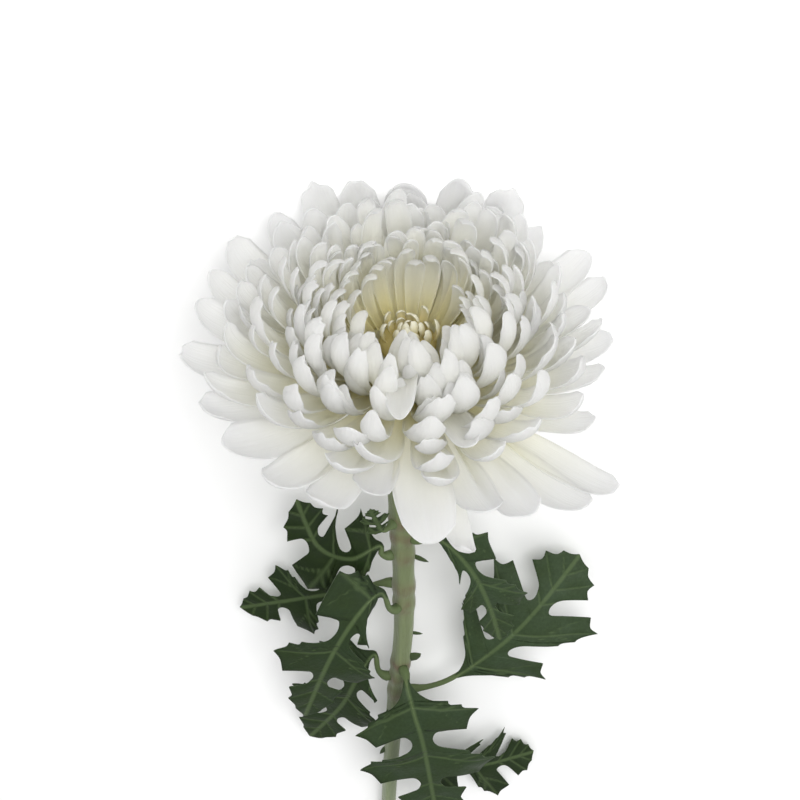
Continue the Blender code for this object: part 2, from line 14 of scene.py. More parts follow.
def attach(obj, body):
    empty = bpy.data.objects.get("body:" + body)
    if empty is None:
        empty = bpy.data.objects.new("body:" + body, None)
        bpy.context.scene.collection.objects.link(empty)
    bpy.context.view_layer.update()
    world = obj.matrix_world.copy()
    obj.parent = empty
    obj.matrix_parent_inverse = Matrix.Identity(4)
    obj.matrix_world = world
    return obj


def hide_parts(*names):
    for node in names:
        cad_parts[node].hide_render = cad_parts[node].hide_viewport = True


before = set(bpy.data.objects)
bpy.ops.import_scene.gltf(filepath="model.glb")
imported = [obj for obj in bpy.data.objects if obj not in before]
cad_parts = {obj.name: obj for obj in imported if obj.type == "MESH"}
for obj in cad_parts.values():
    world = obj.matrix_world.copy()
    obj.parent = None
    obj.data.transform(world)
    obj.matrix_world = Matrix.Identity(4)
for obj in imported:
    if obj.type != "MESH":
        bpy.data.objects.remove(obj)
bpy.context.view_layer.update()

# The floor and the light: a pale matt sheet under the flower, one broad soft lamp high behind the camera, a
# weaker one on each side, and an even white sky. The camera looks down on the flower past its head.
FLOOR_SIZE = 3.0
FLOOR_DROP = 0.0002
FLOOR_COLOUR = (0.88, 0.88, 0.88, 1.0)
CAMERA_ELEVATION = math.radians(64.0)
CAMERA_DISTANCE = 0.309
CAMERA_LENS = 50.0
SENSOR_WIDTH = 36.0
NEAREST_SEEN = 0.01
LOOKED_AT = Vector((0.0, 0.0202290, 0.0479347))
PIXELS_ACROSS = 800.0
AIM_RIGHT = 8.0
AIM_DOWN = 72.0
LAMPS = (
    # place, size, power
    ((-0.16, -0.32, 0.80), 0.55, 5.2),
    ((-0.55, 0.25, 0.60), 0.70, 1.6),
    ((0.50, -0.30, 0.60), 0.70, 1.4),
)
LAMP_AIM = Vector((0.0, 0.06, 0.03))
SKY_COLOUR = (1.0, 1.0, 1.0, 1.0)
SKY_STRENGTH = 0.60


def add_node(tree, kind, inputs=None, **settings):
    """A shader node with its settings. An input is either a value or the socket that feeds it."""
    node = tree.nodes.new(kind)
    for key, value in settings.items():
        setattr(node, key, value)
    for key, value in (inputs or {}).items():
        if isinstance(value, bpy.types.NodeSocket):
            tree.links.new(value, node.inputs[key])
        else:
            node.inputs[key].default_value = value
    return node


def blank_material(name):
    """A material with nothing in it but its output."""
    material = bpy.data.materials.new(name)
    material.use_nodes = True
    material.node_tree.nodes.clear()
    return material, material.node_tree, material.node_tree.nodes.new("ShaderNodeOutputMaterial")


def floor_material():
    """Pale matt paper with a faint tooth."""
    material, tree, output = blank_material("pale_floor")
    place = add_node(tree, "ShaderNodeTexCoord").outputs["Object"]
    tooth = add_node(tree, "ShaderNodeTexNoise", {"Vector": place, "Scale": 900.0, "Detail": 2.0}).outputs[0]
    bump = add_node(tree, "ShaderNodeBump", {"Strength": 0.03, "Distance": 0.0002, "Height": tooth})
    paper = add_node(
        tree,
        "ShaderNodeBsdfPrincipled",
        {"Base Color": FLOOR_COLOUR, "Roughness": 0.9, "Specular IOR Level": 0.1, "Normal": bump.outputs[0]},
    )
    tree.links.new(paper.outputs[0], output.inputs["Surface"])
    return material


half_floor = FLOOR_SIZE / 2.0
floor_mesh = bpy.data.meshes.new("floor")
floor_mesh.from_pydata(
    [(x * half_floor, y * half_floor, -FLOOR_DROP) for x, y in ((-1, -1), (1, -1), (1, 1), (-1, 1))],
    [],
    [(0, 1, 2, 3)],
)
floor_mesh.materials.append(floor_material())
floor = bpy.data.objects.new("floor", floor_mesh)
bpy.context.scene.collection.objects.link(floor)

for k, (place, size, power) in enumerate(LAMPS):
    lamp = bpy.data.lights.new(f"soft_lamp_{k}", "AREA")
    lamp.shape = "DISK"
    lamp.size = size
    lamp.energy = power
    holder = bpy.data.objects.new(f"soft_lamp_{k}", lamp)
    holder.location = place
    holder.rotation_euler = (LAMP_AIM - Vector(place)).to_track_quat("-Z", "Y").to_euler()
    bpy.context.scene.collection.objects.link(holder)

sky = bpy.data.worlds.new("soft_sky")
sky.use_nodes = True
sky.node_tree.nodes["Background"].inputs["Color"].default_value = SKY_COLOUR
sky.node_tree.nodes["Background"].inputs["Strength"].default_value = SKY_STRENGTH
bpy.context.scene.world = sky
bpy.context.scene.view_settings.view_transform = "Standard"

camera_right = Vector((-1.0, 0.0, 0.0))
camera_up = Vector((0.0, -math.sin(CAMERA_ELEVATION), -math.cos(CAMERA_ELEVATION)))
camera_back = Vector((0.0, -math.cos(CAMERA_ELEVATION), math.sin(CAMERA_ELEVATION)))
camera_data = bpy.data.cameras.new("photo_camera")
camera_data.lens = CAMERA_LENS
camera_data.sensor_width = SENSOR_WIDTH
camera_data.clip_start = NEAREST_SEEN
camera = bpy.data.objects.new("photo_camera", camera_data)
pixel = CAMERA_DISTANCE * SENSOR_WIDTH / (CAMERA_LENS * PIXELS_ACROSS)
aim_shift = pixel * (AIM_RIGHT * camera_right + AIM_DOWN * camera_up)
camera_place = LOOKED_AT + CAMERA_DISTANCE * camera_back - aim_shift
camera.matrix_world = Matrix.Translation(camera_place) @ Matrix(
    (camera_right, camera_up, camera_back)
).transposed().to_4x4()
bpy.context.scene.collection.objects.link(camera)
bpy.context.scene.camera = camera

# The white petals: thin strap-shaped blades, wide and spoon-ended at the rim and narrower towards the middle,
# where they stand up and curl in. They all grow from one core. Their flesh is waxy, finely ribbed along its
# length, cream deep in the head and white at the tips.
HEAD_BASE = np.array((0.0, 0.0385, 0.0398))
HEAD_TILT = math.radians(24.0)
AXIS = np.array((0.0, -math.cos(HEAD_TILT), math.sin(HEAD_TILT)))
SIDE = np.array((-1.0, 0.0, 0.0))
DOWN = np.array((0.0, -math.sin(HEAD_TILT), -math.cos(HEAD_TILT)))
MM = 0.001
CORE_PROFILE = (
    (0.1, 0.0), (9.0, 0.4), (14.5, 2.6), (17.0, 5.6), (16.2, 8.6), (13.4, 11.4), (9.6, 12.8), (0.1, 12.8),
)
CORE_SIDES = 36
RIM_ROOT = (14.6, 4.4)
# Petals of the rim: direction round the head (0 is -X, 90 points at the floor), reach, height, width, bend
RIM_PETALS = (
    (-172.0, 63.0, 20.0, 12.0, 34.0),
    (-155.0, 61.0, 19.0, 12.5, 34.0),
    (-138.0, 62.0, 19.0, 13.5, 32.0),
    (-123.0, 62.0, 19.0, 12.5, 30.0),
    (-111.0, 61.0, 18.5, 12.5, 30.0),
    (-101.0, 55.0, 18.0, 11.0, 30.0),
    (-86.5, 64.0, 9.0, 15.5, -6.0),
    (-71.0, 61.0, 15.0, 11.5, 28.0),
    (-61.0, 66.0, 15.0, 11.5, 26.0),
    (-51.5, 71.0, 14.0, 11.5, 24.0),
    (-42.0, 73.0, 14.0, 10.5, 24.0),
    (-31.5, 57.0, 16.0, 10.5, 30.0),
    (-15.0, 54.5, 20.0, 11.5, 36.0),
    (-2.0, 56.5, 20.0, 12.5, 36.0),
    (18.0, 60.0, 21.0, 11.5, 36.0),
    (30.0, 61.0, 21.0, 12.5, 38.0),
    (45.0, 55.0, 24.0, 11.5, 44.0),
    (60.0, 61.0, 27.0, 14.0, 52.0),
    (75.0, 57.0, 28.0, 12.5, 66.0),
    (90.0, 53.6, 27.0, 14.0, 95.0),
    (105.0, 57.0, 28.0, 12.5, 66.0),
    (118.0, 61.0, 28.0, 12.5, 52.0),
    (133.0, 58.0, 25.0, 12.0, 44.0),
    (149.0, 61.0, 24.0, 12.5, 40.0),
    (163.0, 60.0, 23.0, 12.5, 38.0),
    (176.0, 58.5, 26.0, 11.5, 38.0),
)
# Petals that left their ranks: direction, root radius and height, reach, height, width, bend, roll, hood
LOOSE_PETALS = (
    (-93.0, 9.0, 11.0, 41.0, 30.5, 7.5, -80.0, 14.0, 30.0),
    (-78.0, 14.0, 4.0, 65.0, 8.0, 8.0, -14.0, -30.0, 125.0),
    (-70.0, 13.0, 9.0, 48.0, 26.0, 8.0, -20.0, 22.0, 50.0),
)
# The other petals stand in a spiral: place in it from rim to middle, root radius, root height, reach of the
# tip, height of the tip, width and bend
SPIRAL_COUNT = 160
SPIRAL = (
    (0.00, 16.6, 6.2, 54.0, 23.0, 10.6, 56.0),
    (0.22, 16.0, 8.4, 45.5, 29.5, 8.8, 74.0),
    (0.50, 14.2, 10.4, 33.5, 35.0, 7.0, 92.0),
    (0.78, 12.0, 11.8, 21.0, 36.0, 5.6, 98.0),
    (1.00, 10.6, 12.4, 12.6, 30.5, 4.6, 96.0),
)
GOLDEN_ANGLE = 137.508
SPIRAL_START = 12.0
# Narrower petals fill the gaps of the spiral: their number, where in it they stand, and their reach, height
# and width as shares of its own
FILLER_COUNT = 72
FILLER_SPAN = (0.38, 0.90)
FILLER_SHARES = (0.88, 0.90, 0.78)
# How far the roots of the spiral's petals sink into the core, inward and down
ROOT_SINK = (1.6, 2.1)
SEED = 7
PETAL_ROWS = np.array((0.0, 0.13, 0.26, 0.39, 0.51, 0.61, 0.70, 0.78, 0.85, 0.91, 0.955, 0.985, 1.0))
PETAL_COLUMNS = 11
PETAL_THICKNESS = 0.8 * MM
LINE_STEPS = 200
BEND_POWER = 2.0
HOOD_START = 0.76
TOOTH_WAVES = 7.0
WIDEST_AT = 0.72
TIP_NARROWING = 0.30
FULLEST_ARC = 1.35
# Ripples along and across a petal, and how much it thins towards its sides and its tip
RIPPLES = (9.0, 2.0)
THINNING = (0.5, 0.4)
PETAL_KEYS = (
    "root_radius", "root_height", "reach", "height", "width", "bend", "hood", "angle", "sweep", "roll",
    "cup", "close", "foot", "blunt", "point", "teeth", "wave", "phase",
)


def petal_grid(petals, rows, columns, thickness):
    """The inner and outer faces of many petals, each an array of petal, row, column and place.

    The middle line starts at the root and turns by bend times t to a power, plus hood times the square of the
    share of the way from HOOD_START to the tip. Its places are the cosine and sine of that turn added up,
    then scaled and turned so that it ends at the tip, in the half plane of its heading, which shifts by sweep
    times t squared. A column ends before the tip by blunt times its place to the power point, with small
    teeth. A row is an arc across the line, which closes towards the tip and rolls about the line by roll
    times t squared. The outer face lies a thickness behind, which thins towards the edges.
    """
    p = {key: petals[:, k, None, None] for k, key in enumerate(PETAL_KEYS)}
    t = np.linspace(0.0, 1.0, LINE_STEPS + 1)
    late = np.clip((t - HOOD_START) / (1.0 - HOOD_START), 0.0, 1.0)
    turn = p["bend"][:, 0] * t**BEND_POWER + p["hood"][:, 0] * late**2
    middle = 0.5 * (turn[:, 1:] + turn[:, :-1])
    start = np.zeros((len(petals), 1))
    x = np.hstack((start, np.cumsum(np.cos(middle), axis=1))) / LINE_STEPS
    y = np.hstack((start, np.cumsum(np.sin(middle), axis=1))) / LINE_STEPS
    run = (p["reach"] - p["root_radius"])[:, 0]
    rise = (p["height"] - p["root_height"])[:, 0]
    length = np.hypot(run, rise) / np.hypot(x[:, -1:], y[:, -1:])
    launch = np.arctan2(rise, run) - np.arctan2(y[:, -1:], x[:, -1:])

    v = np.linspace(-1.0, 1.0, columns)[None, None, :]
    teeth = p["teeth"] * (0.5 - 0.5 * np.cos(TOOTH_WAVES * v + p["phase"])) * (1.0 - v**2)
    end = 1.0 - p["blunt"] * np.abs(v) ** p["point"] - teeth
    s = rows[None, :, None] * (1.0 + (end - 1.0) * rows[None, :, None] ** 2)
    at = s * LINE_STEPS
    low = np.minimum(at.astype(int), LINE_STEPS - 1)
    part = at - low
    lane = np.arange(len(petals))[:, None, None]

    def read(values):
        """Values of the middle lines, read between their two nearest steps."""
        return values[lane, low] * (1.0 - part) + values[lane, low + 1] * part

    line_x, line_y, slope = read(x), read(y), read(turn) + launch[..., None]
    cos_launch, sin_launch = np.cos(launch)[..., None], np.sin(launch)[..., None]
    radius = p["root_radius"] + length[..., None] * (line_x * cos_launch - line_y * sin_launch)
    up = p["root_height"] + length[..., None] * (line_x * sin_launch + line_y * cos_launch)
    heading = p["angle"] + p["sweep"] * s**2

    swell = np.clip(s / WIDEST_AT, 0.0, 1.0)
    narrowing = 1.0 - TIP_NARROWING * np.clip((s - WIDEST_AT) / (1.0 - WIDEST_AT), 0.0, 1.0) ** 2
    outline = (p["foot"] + (1.0 - p["foot"]) * swell**2 * (3.0 - 2.0 * swell)) * narrowing
    arc = p["cup"] * (1.0 + p["close"] * s**3)
    theta = arc * v
    half = 0.5 * p["width"] * outline / np.sin(np.minimum(arc, FULLEST_ARC))
    ripple = p["wave"] * v**2 * np.sin(p["phase"] + RIPPLES[0] * s + RIPPLES[1] * v) * outline
    spin = p["roll"] * s**2
    sideways = half * np.sin(theta)
    lift = half * (1.0 - np.cos(theta)) + ripple
    flat_part = (sideways * np.cos(spin) - lift * np.sin(spin))[..., None]
    deep_part = (sideways * np.sin(spin) + lift * np.cos(spin))[..., None]
    heading, slope = heading[..., None], slope[..., None]
    outward = np.cos(heading) * SIDE + np.sin(heading) * DOWN
    across = np.cos(heading) * DOWN - np.sin(heading) * SIDE
    inner = np.cos(slope) * AXIS - np.sin(slope) * outward
    centre = HEAD_BASE + radius[..., None] * outward + up[..., None] * AXIS
    face = centre + flat_part * across + deep_part * inner
    tilt = (theta - spin)[..., None]
    normal = np.cos(tilt) * inner - np.sin(tilt) * across
    depth = thickness * (1.0 - THINNING[0] * v**2) * (1.0 - THINNING[1] * s**4)
    return face, face - depth[..., None] * normal


def shells(face, back):
    """Closed thin shells from their two faces: their points, and quads that point outwards.

    The two faces of a row make one ring, rings are joined in order, and the first and last ring are closed
    by quads from face to back.
    """
    count, rows, columns, _ = face.shape
    ring = np.concatenate((face, back[:, :, ::-1]), axis=2)
    size = 2 * columns
    index = np.arange(count * rows * size).reshape(count, rows, size)
    following = np.roll(index, -1, axis=2)
    walls = np.stack((index[:, :-1], following[:, :-1], following[:, 1:], index[:, 1:]), axis=-1)
    near = index[:, :, :columns]
    far = index[:, :, :columns - 1:-1]
    lids = np.stack((near[:, :, :-1], far[:, :, :-1], far[:, :, 1:], near[:, :, 1:]), axis=-1)
    near_lids = lids[:, 0].reshape(-1, 4)
    far_lids = lids[:, -1, :, ::-1].reshape(-1, 4)
    quads = np.concatenate((walls.reshape(-1, 4), near_lids, far_lids))
    points = ring.reshape(-1, 3)
    a, b, c, d = (points[quads[:, k]] for k in range(4))
    volume = np.sum(a * np.cross(b, c)) + np.sum(a * np.cross(c, d))
    return points, (quads if volume > 0.0 else quads[:, ::-1]).tolist()


def both_faces(numbers):
    """The numbers kept on each point of a shell: those of the face, then the same ones for its back."""
    return np.concatenate((numbers, numbers[..., ::-1]), axis=-1).ravel()


def back_numbers(shape):
    """0 on the points of each shell's face and 1 on those of its back."""
    return np.concatenate((np.zeros(shape), np.ones(shape)), axis=2).ravel()


def blade_numbers(shape, rows, columns, **own):
    """How far along and across each point of the blades is, and numbers that each blade has of its own."""
    numbers = {
        "along": both_faces(np.broadcast_to(rows[None, :, None], shape)),
        "across": both_faces(np.broadcast_to(np.linspace(-1.0, 1.0, columns), shape)),
    }
    for key, values in own.items():
        numbers[key] = both_faces(np.broadcast_to(values[:, None, None], shape))
    return numbers


def turned(profile, sides):
    """A round body turned about the head's axis from radii and heights, closed by its flat end rings."""
    profile = np.array(profile) * MM
    angles = np.linspace(0.0, math.tau, sides, endpoint=False)[None, :, None]
    around = np.cos(angles) * SIDE + np.sin(angles) * DOWN
    points = HEAD_BASE + profile[:, None, :1] * around + profile[:, None, 1:] * AXIS
    return closed_rings(points)


def closed_rings(rings):
    """Points and faces of a closed tube from its rings: quads between them, and a lid on each end."""
    rows, size, _ = rings.shape
    index = np.arange(rows * size).reshape(rows, size)
    following = np.roll(index, -1, axis=1)
    walls = np.stack((index[:-1], following[:-1], following[1:], index[1:]), axis=-1).reshape(-1, 4)
    points = rings.reshape(-1, 3)
    a, b, c, d = (points[walls[:, k]] for k in range(4))
    centre = points.mean(axis=0)
    a, b, c, d = a - centre, b - centre, c - centre, d - centre
    volume = np.sum(a * np.cross(b, c)) + np.sum(a * np.cross(c, d))
    faces = walls.tolist() + [index[0, ::-1].tolist(), index[-1].tolist()]
    return points, faces if volume > 0.0 else [face[::-1] for face in faces]


def make_piece(name, parts, material, slot, *nodes):
    """One object from several parts, each its points, faces and numbers by name, riding on the flower."""
    points = np.concatenate([part[0] for part in parts])
    faces = []
    start = 0
    for part in parts:
        faces += [[corner + start for corner in face] for face in part[1]]
        start += len(part[0])
    mesh = bpy.data.meshes.new(name)
    mesh.from_pydata(points.tolist(), [], faces)
    for key in parts[0][2]:
        numbers = np.concatenate([np.broadcast_to(part[2].get(key, 0.0), len(part[0])) for part in parts])
        mesh.attributes.new(key, "FLOAT", "POINT").data.foreach_set("value", numbers.astype(np.float32))
    mesh.shade_smooth()
    mesh.materials.append(material)
    piece = bpy.data.objects.new(name, mesh)
    bpy.context.scene.collection.objects.link(piece)
    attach(piece, "root")
    if nodes:
        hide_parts(*nodes)
    return piece


def span(tree, value, low, high):
    """From 0 to 1 as a number goes from low to high."""
    inputs = {"Value": value, "From Min": low, "From Max": high}
    return add_node(tree, "ShaderNodeMapRange", inputs).outputs[0]


def plant_fibres():
    """A node group: fine streaks along a stretched place, and soft blotches, both from 0 to 1."""
    group = bpy.data.node_groups.new("plant_fibres", "ShaderNodeTree")
    for socket, kind in (("Streaked Place", "NodeSocketVector"), ("Place", "NodeSocketVector"),
                         ("Streak Scale", "NodeSocketFloat"), ("Blotch Scale", "NodeSocketFloat")):
        group.interface.new_socket(name=socket, in_out="INPUT", socket_type=kind)
    for socket in ("Streaks", "Blotches"):
        group.interface.new_socket(name=socket, in_out="OUTPUT", socket_type="NodeSocketFloat")
    given = group.nodes.new("NodeGroupInput").outputs
    streaks = add_node(
        group,
        "ShaderNodeTexNoise",
        {"Vector": given["Streaked Place"], "Scale": given["Streak Scale"], "Detail": 3.0, "Roughness": 0.6},
    )
    blotches = add_node(
        group, "ShaderNodeTexNoise", {"Vector": given["Place"], "Scale": given["Blotch Scale"], "Detail": 2.0}
    )
    taken = group.nodes.new("NodeGroupOutput").inputs
    for source, name in ((streaks, "Streaks"), (blotches, "Blotches")):
        group.links.new(span(group, source.outputs[0], 0.3, 0.7), taken[name])
    return group


PLANT_FIBRES = plant_fibres()


def number(tree, name):
    """A number kept on the points of the mesh."""
    return add_node(tree, "ShaderNodeAttribute", attribute_name=name).outputs["Fac"]


def maths(tree, operation, a, b=0.0, c=0.0, clamp=False):
    """One sum, product or the like of up to three numbers."""
    inputs = {0: a, 1: b, 2: c}
    return add_node(tree, "ShaderNodeMath", inputs, operation=operation, use_clamp=clamp).outputs[0]


def blend(tree, share, first, second):
    """From the first colour to the second by a share."""
    return add_node(tree, "ShaderNodeMix", {0: share, 6: first, 7: second}, data_type="RGBA").outputs[2]


def fibres_at(tree, streaked, place, streak_scale, blotch_scale):
    """The streaks and blotches of the plant's fibres, each from 0 to 1."""
    inputs = {0: streaked, 1: place, 2: streak_scale, 3: blotch_scale}
    outputs = add_node(tree, "ShaderNodeGroup", inputs, node_tree=PLANT_FIBRES).outputs
    return outputs["Streaks"], outputs["Blotches"]


def ramp(tree, share, stops):
    """A colour read from a row of stops, each a place and a colour."""
    node = add_node(tree, "ShaderNodeValToRGB", {"Fac": share})
    for spare in list(node.color_ramp.elements)[1:]:
        node.color_ramp.elements.remove(spare)
    for k, (place, colour) in enumerate(stops):
        stop = node.color_ramp.elements[0] if k == 0 else node.color_ramp.elements.new(place)
        stop.position = place
        stop.color = (*colour, 1.0)
    return node.outputs["Color"]


PETAL_MOTTLE = (0.88, 0.86, 0.78, 1.0)
PETAL_RIBS = (0.82, 0.84, 0.72, 1.0)


def petal_material(name, stops, back_shift, middle_shift, rib_scale, glow):
    """Petal flesh: its colour runs from root to tip, whiter on the back, with fine ribs along it.

    The backs are read back_shift further along, and the petals of the middle up to middle_shift less far.
    The share glow of the light goes through the flesh.
    """
    material, tree, output = blank_material(name)
    along = number(tree, "along")
    across = maths(tree, "MULTIPLY", number(tree, "across"), rib_scale)
    lane = maths(tree, "MULTIPLY", number(tree, "tint"), 40.0)
    place = add_node(tree, "ShaderNodeTexCoord").outputs["Object"]
    streaked = add_node(tree, "ShaderNodeCombineXYZ", {0: across, 1: along, 2: lane}).outputs[0]
    streaks, blotches = fibres_at(tree, streaked, place, 3.0, 160.0)
    shift = maths(tree, "MULTIPLY", number(tree, "backside"), back_shift)
    depth = maths(tree, "MULTIPLY", number(tree, "layer"), -middle_shift)
    lot = maths(tree, "MULTIPLY_ADD", number(tree, "tint"), 0.10, -0.05)
    share = maths(tree, "ADD", maths(tree, "ADD", along, shift), maths(tree, "ADD", depth, lot))
    dulled = blend(tree, maths(tree, "MULTIPLY", blotches, 0.05), ramp(tree, share, stops), PETAL_MOTTLE)
    ribbed = blend(tree, maths(tree, "MULTIPLY", streaks, 0.06), dulled, PETAL_RIBS)
    bump = add_node(tree, "ShaderNodeBump", {"Strength": 0.35, "Distance": 0.00025, "Height": streaks})
    roughness = maths(tree, "MULTIPLY_ADD", blotches, 0.15, 0.50)
    flesh = add_node(
        tree,
        "ShaderNodeBsdfPrincipled",
        {"Base Color": ribbed, "Roughness": roughness, "Specular IOR Level": 0.25, "Normal": bump.outputs[0]},
    )
    through = add_node(tree, "ShaderNodeBsdfTranslucent", {"Color": ribbed, "Normal": bump.outputs[0]})
    mixed = add_node(tree, "ShaderNodeMixShader", {0: glow, 1: flesh.outputs[0], 2: through.outputs[0]})
    tree.links.new(mixed.outputs[0], output.inputs["Surface"])
    return material


def petal_row(
    shy, root, tip, width, bend, hood, angle, sweep, roll, cup, close, foot, blunt, point, teeth, wave
):
    """One petal as a row of numbers, in metres and radians, with a phase of its own for its ripples."""
    lengths = [size * MM for size in (*root, *tip, width)]
    angles = [math.radians(turn) for turn in (bend, hood, angle, sweep, roll, cup)]
    return (*lengths, *angles, close, foot, blunt, point, teeth, wave * MM, shy.uniform(0.0, 6.3))


def in_spiral(x):
    """The root, the tip, the width and the bend of a petal at a place in the spiral."""
    table = np.array(SPIRAL)
    root_radius, root_height, reach, height, width, bend = (
        np.interp(x, table[:, 0], table[:, k]) for k in range(1, 7)
    )
    return (root_radius - ROOT_SINK[0], root_height - ROOT_SINK[1]), reach, height, width, bend


def all_petals():
    """The numbers of each petal, rim first and fillers last, and how far in each one stands from 0 to 1."""
    lines = []
    layers = []
    shy = random.Random(SEED + 2)
    for direction, reach, height, width, bend in RIM_PETALS:
        lines.append(
            petal_row(
                shy, RIM_ROOT, (reach, height), width, bend,
                hood=shy.uniform(10.0, 60.0) if bend > 0.0 else -30.0,
                angle=direction, sweep=shy.uniform(-2.0, 2.0), roll=shy.uniform(-16.0, 16.0),
                cup=28.0, close=shy.uniform(0.1, 0.7), foot=0.24, blunt=shy.uniform(0.07, 0.11), point=2.2,
                teeth=shy.choice((0.0, 0.02, 0.03)), wave=shy.uniform(0.3, 0.8),
            )
        )
        layers.append(-0.1)
    for direction, root_radius, root_height, reach, height, width, bend, roll, hood in LOOSE_PETALS:
        lines.append(
            petal_row(
                shy, (root_radius, root_height), (reach, height), width, bend, hood, direction, sweep=0.0,
                roll=roll, cup=38.0, close=0.3, foot=0.28, blunt=0.09, point=2.2, teeth=0.0, wave=0.3,
            )
        )
        layers.append(0.3)
    draw = random.Random(SEED)
    for i in range(SPIRAL_COUNT):
        x = i / (SPIRAL_COUNT - 1)
        root, reach, height, width, bend = in_spiral(x)
        direction = SPIRAL_START + GOLDEN_ANGLE * i + draw.uniform(-4.0, 4.0)
        reach *= 1.0 + draw.uniform(-0.09, 0.09)
        height *= 1.0 + draw.uniform(-0.07, 0.07)
        lines.append(
            petal_row(
                shy, root, (reach, height), width * shy.uniform(0.88, 1.12), bend,
                hood=shy.uniform(15.0, 75.0),
                angle=direction, sweep=draw.uniform(-8.0, 8.0), roll=shy.uniform(-28.0, 28.0),
                cup=shy.uniform(38.0, 50.0), close=shy.uniform(0.15, 0.45),
                foot=0.30 + 0.2 * x, blunt=0.10 + 0.05 * x, point=2.2 - 0.2 * x,
                teeth=shy.choice((0.0, 0.0, 0.02, 0.04)), wave=shy.uniform(0.05, 0.35),
            )
        )
        layers.append(x)
    loose = random.Random(SEED + 5)
    for i in range(FILLER_COUNT):
        x = np.interp(i, (0, FILLER_COUNT - 1), FILLER_SPAN)
        root, reach, height, width, bend = in_spiral(x)
        direction = SPIRAL_START + GOLDEN_ANGLE * (i + 0.5) + loose.uniform(-9.0, 9.0)
        reach *= FILLER_SHARES[0] + loose.uniform(-0.07, 0.07)
        height *= FILLER_SHARES[1] + loose.uniform(-0.06, 0.06)
        lines.append(
            petal_row(
                loose, root, (reach, height), width * FILLER_SHARES[2], bend,
                hood=loose.uniform(10.0, 60.0),
                angle=direction, sweep=loose.uniform(-9.0, 9.0), roll=loose.uniform(-35.0, 35.0),
                cup=loose.uniform(38.0, 50.0), close=0.3, foot=0.4, blunt=0.12, point=2.1,
                teeth=loose.choice((0.0, 0.03)), wave=0.2,
            )
        )
        layers.append(x)
    return np.array(lines), np.array(layers)


petals, layers = all_petals()
face, back = petal_grid(petals, PETAL_ROWS, PETAL_COLUMNS, PETAL_THICKNESS)
face[..., 2] = np.maximum(face[..., 2], 0.1 * MM)
back[..., 2] = np.maximum(back[..., 2], 0.0)
points, quads = shells(face, back)
grid = face.shape[:3]
tints = np.random.default_rng(SEED).random(len(petals))
petal_numbers = blade_numbers(grid, PETAL_ROWS, PETAL_COLUMNS, tint=tints, layer=layers)
petal_numbers["backside"] = back_numbers(grid)
core_points, core_faces = turned(CORE_PROFILE, CORE_SIDES)
PETAL_STOPS = (
    (0.0, (0.96, 0.92, 0.64)),
    (0.28, (0.975, 0.955, 0.83)),
    (0.55, (0.965, 0.96, 0.905)),
    (0.80, (0.93, 0.93, 0.915)),
    (1.0, (0.90, 0.90, 0.905)),
)
petal_flesh = petal_material(
    "white_petal_flesh", PETAL_STOPS, back_shift=0.22, middle_shift=0.20, rib_scale=2.2, glow=0.76
)
make_piece(
    "white_petals",
    [(points, quads, petal_numbers), (core_points, core_faces, {"along": 0.1})],
    petal_flesh,
    "petal_white",
    "ray_florets",
)

# The cream florets of the middle: short narrow petals, still closed over the button that they grow from.
FLORET_COUNT = 21
BUTTON_PROFILE = ((0.1, 13.2), (8.0, 13.2), (8.2, 14.4), (6.6, 16.4), (3.4, 17.6), (0.1, 18.0))
BUTTON_SIDES = 24
FLORET_HEIGHT = 22.0
FLORET_ROWS = np.array((0.0, 0.2, 0.4, 0.56, 0.7, 0.8, 0.88, 0.94, 0.98, 1.0))
FLORET_COLUMNS = 7
FLORET_THICKNESS = 0.5 * MM
lines = []
draw = random.Random(SEED + 1)
shy = random.Random(SEED + 3)
for i in range(FLORET_COUNT):
    x = i / (FLORET_COUNT - 1)
    height = FLORET_HEIGHT + draw.uniform(-1.2, 1.2)
    sweep = draw.uniform(-12.0, 12.0)
    root = (6.6 - 5.4 * x, 14.4 + 2.6 * x)
    tip = (7.2 - 6.8 * x, height)
    lines.append(
        petal_row(
            shy, root, tip, width=2.9 - 0.6 * x, bend=88.0, hood=shy.uniform(10.0, 60.0),
            angle=GOLDEN_ANGLE * i, sweep=sweep, roll=shy.uniform(-30.0, 30.0),
            cup=48.0, close=0.4, foot=0.75, blunt=0.16, point=1.8, teeth=0.04, wave=0.0,
        )
    )
face, back = petal_grid(np.array(lines), FLORET_ROWS, FLORET_COLUMNS, FLORET_THICKNESS)
points, quads = shells(face, back)
grid = face.shape[:3]
tints = np.random.default_rng(SEED + 1).random(FLORET_COUNT)
floret_numbers = blade_numbers(grid, FLORET_ROWS, FLORET_COLUMNS, tint=tints)
floret_numbers["backside"] = back_numbers(grid)
floret_numbers["layer"] = 0.0
button_points, button_faces = turned(BUTTON_PROFILE, BUTTON_SIDES)
FLORET_STOPS = (
    (0.0, (0.66, 0.55, 0.20)),
    (0.4, (0.80, 0.72, 0.38)),
    (0.75, (0.87, 0.82, 0.58)),
    (1.0, (0.90, 0.88, 0.74)),
)
floret_flesh = petal_material(
    "cream_floret_flesh", FLORET_STOPS, back_shift=0.08, middle_shift=0.0, rib_scale=2.0, glow=0.35
)
make_piece(
    "cream_florets",
    [(points, quads, floret_numbers), (button_points, button_faces, {"along": 0.0})],
    floret_flesh,
    "floret_cream",
    "centre_florets",
)

# The green cup behind the petals: a fleshy cup with rows of pointed bracts that overlap like roof tiles, each
# with a thin brown papery edge.
CALYX_PROFILE = (
    (0.1, -0.35), (9.0, 0.0), (14.7, 2.1), (15.8, 3.0), (15.6, 1.0), (11.5, -3.2), (7.0, -6.0), (4.4, -8.5),
    (0.1, -8.5),
)
CALYX_SIDES = 36
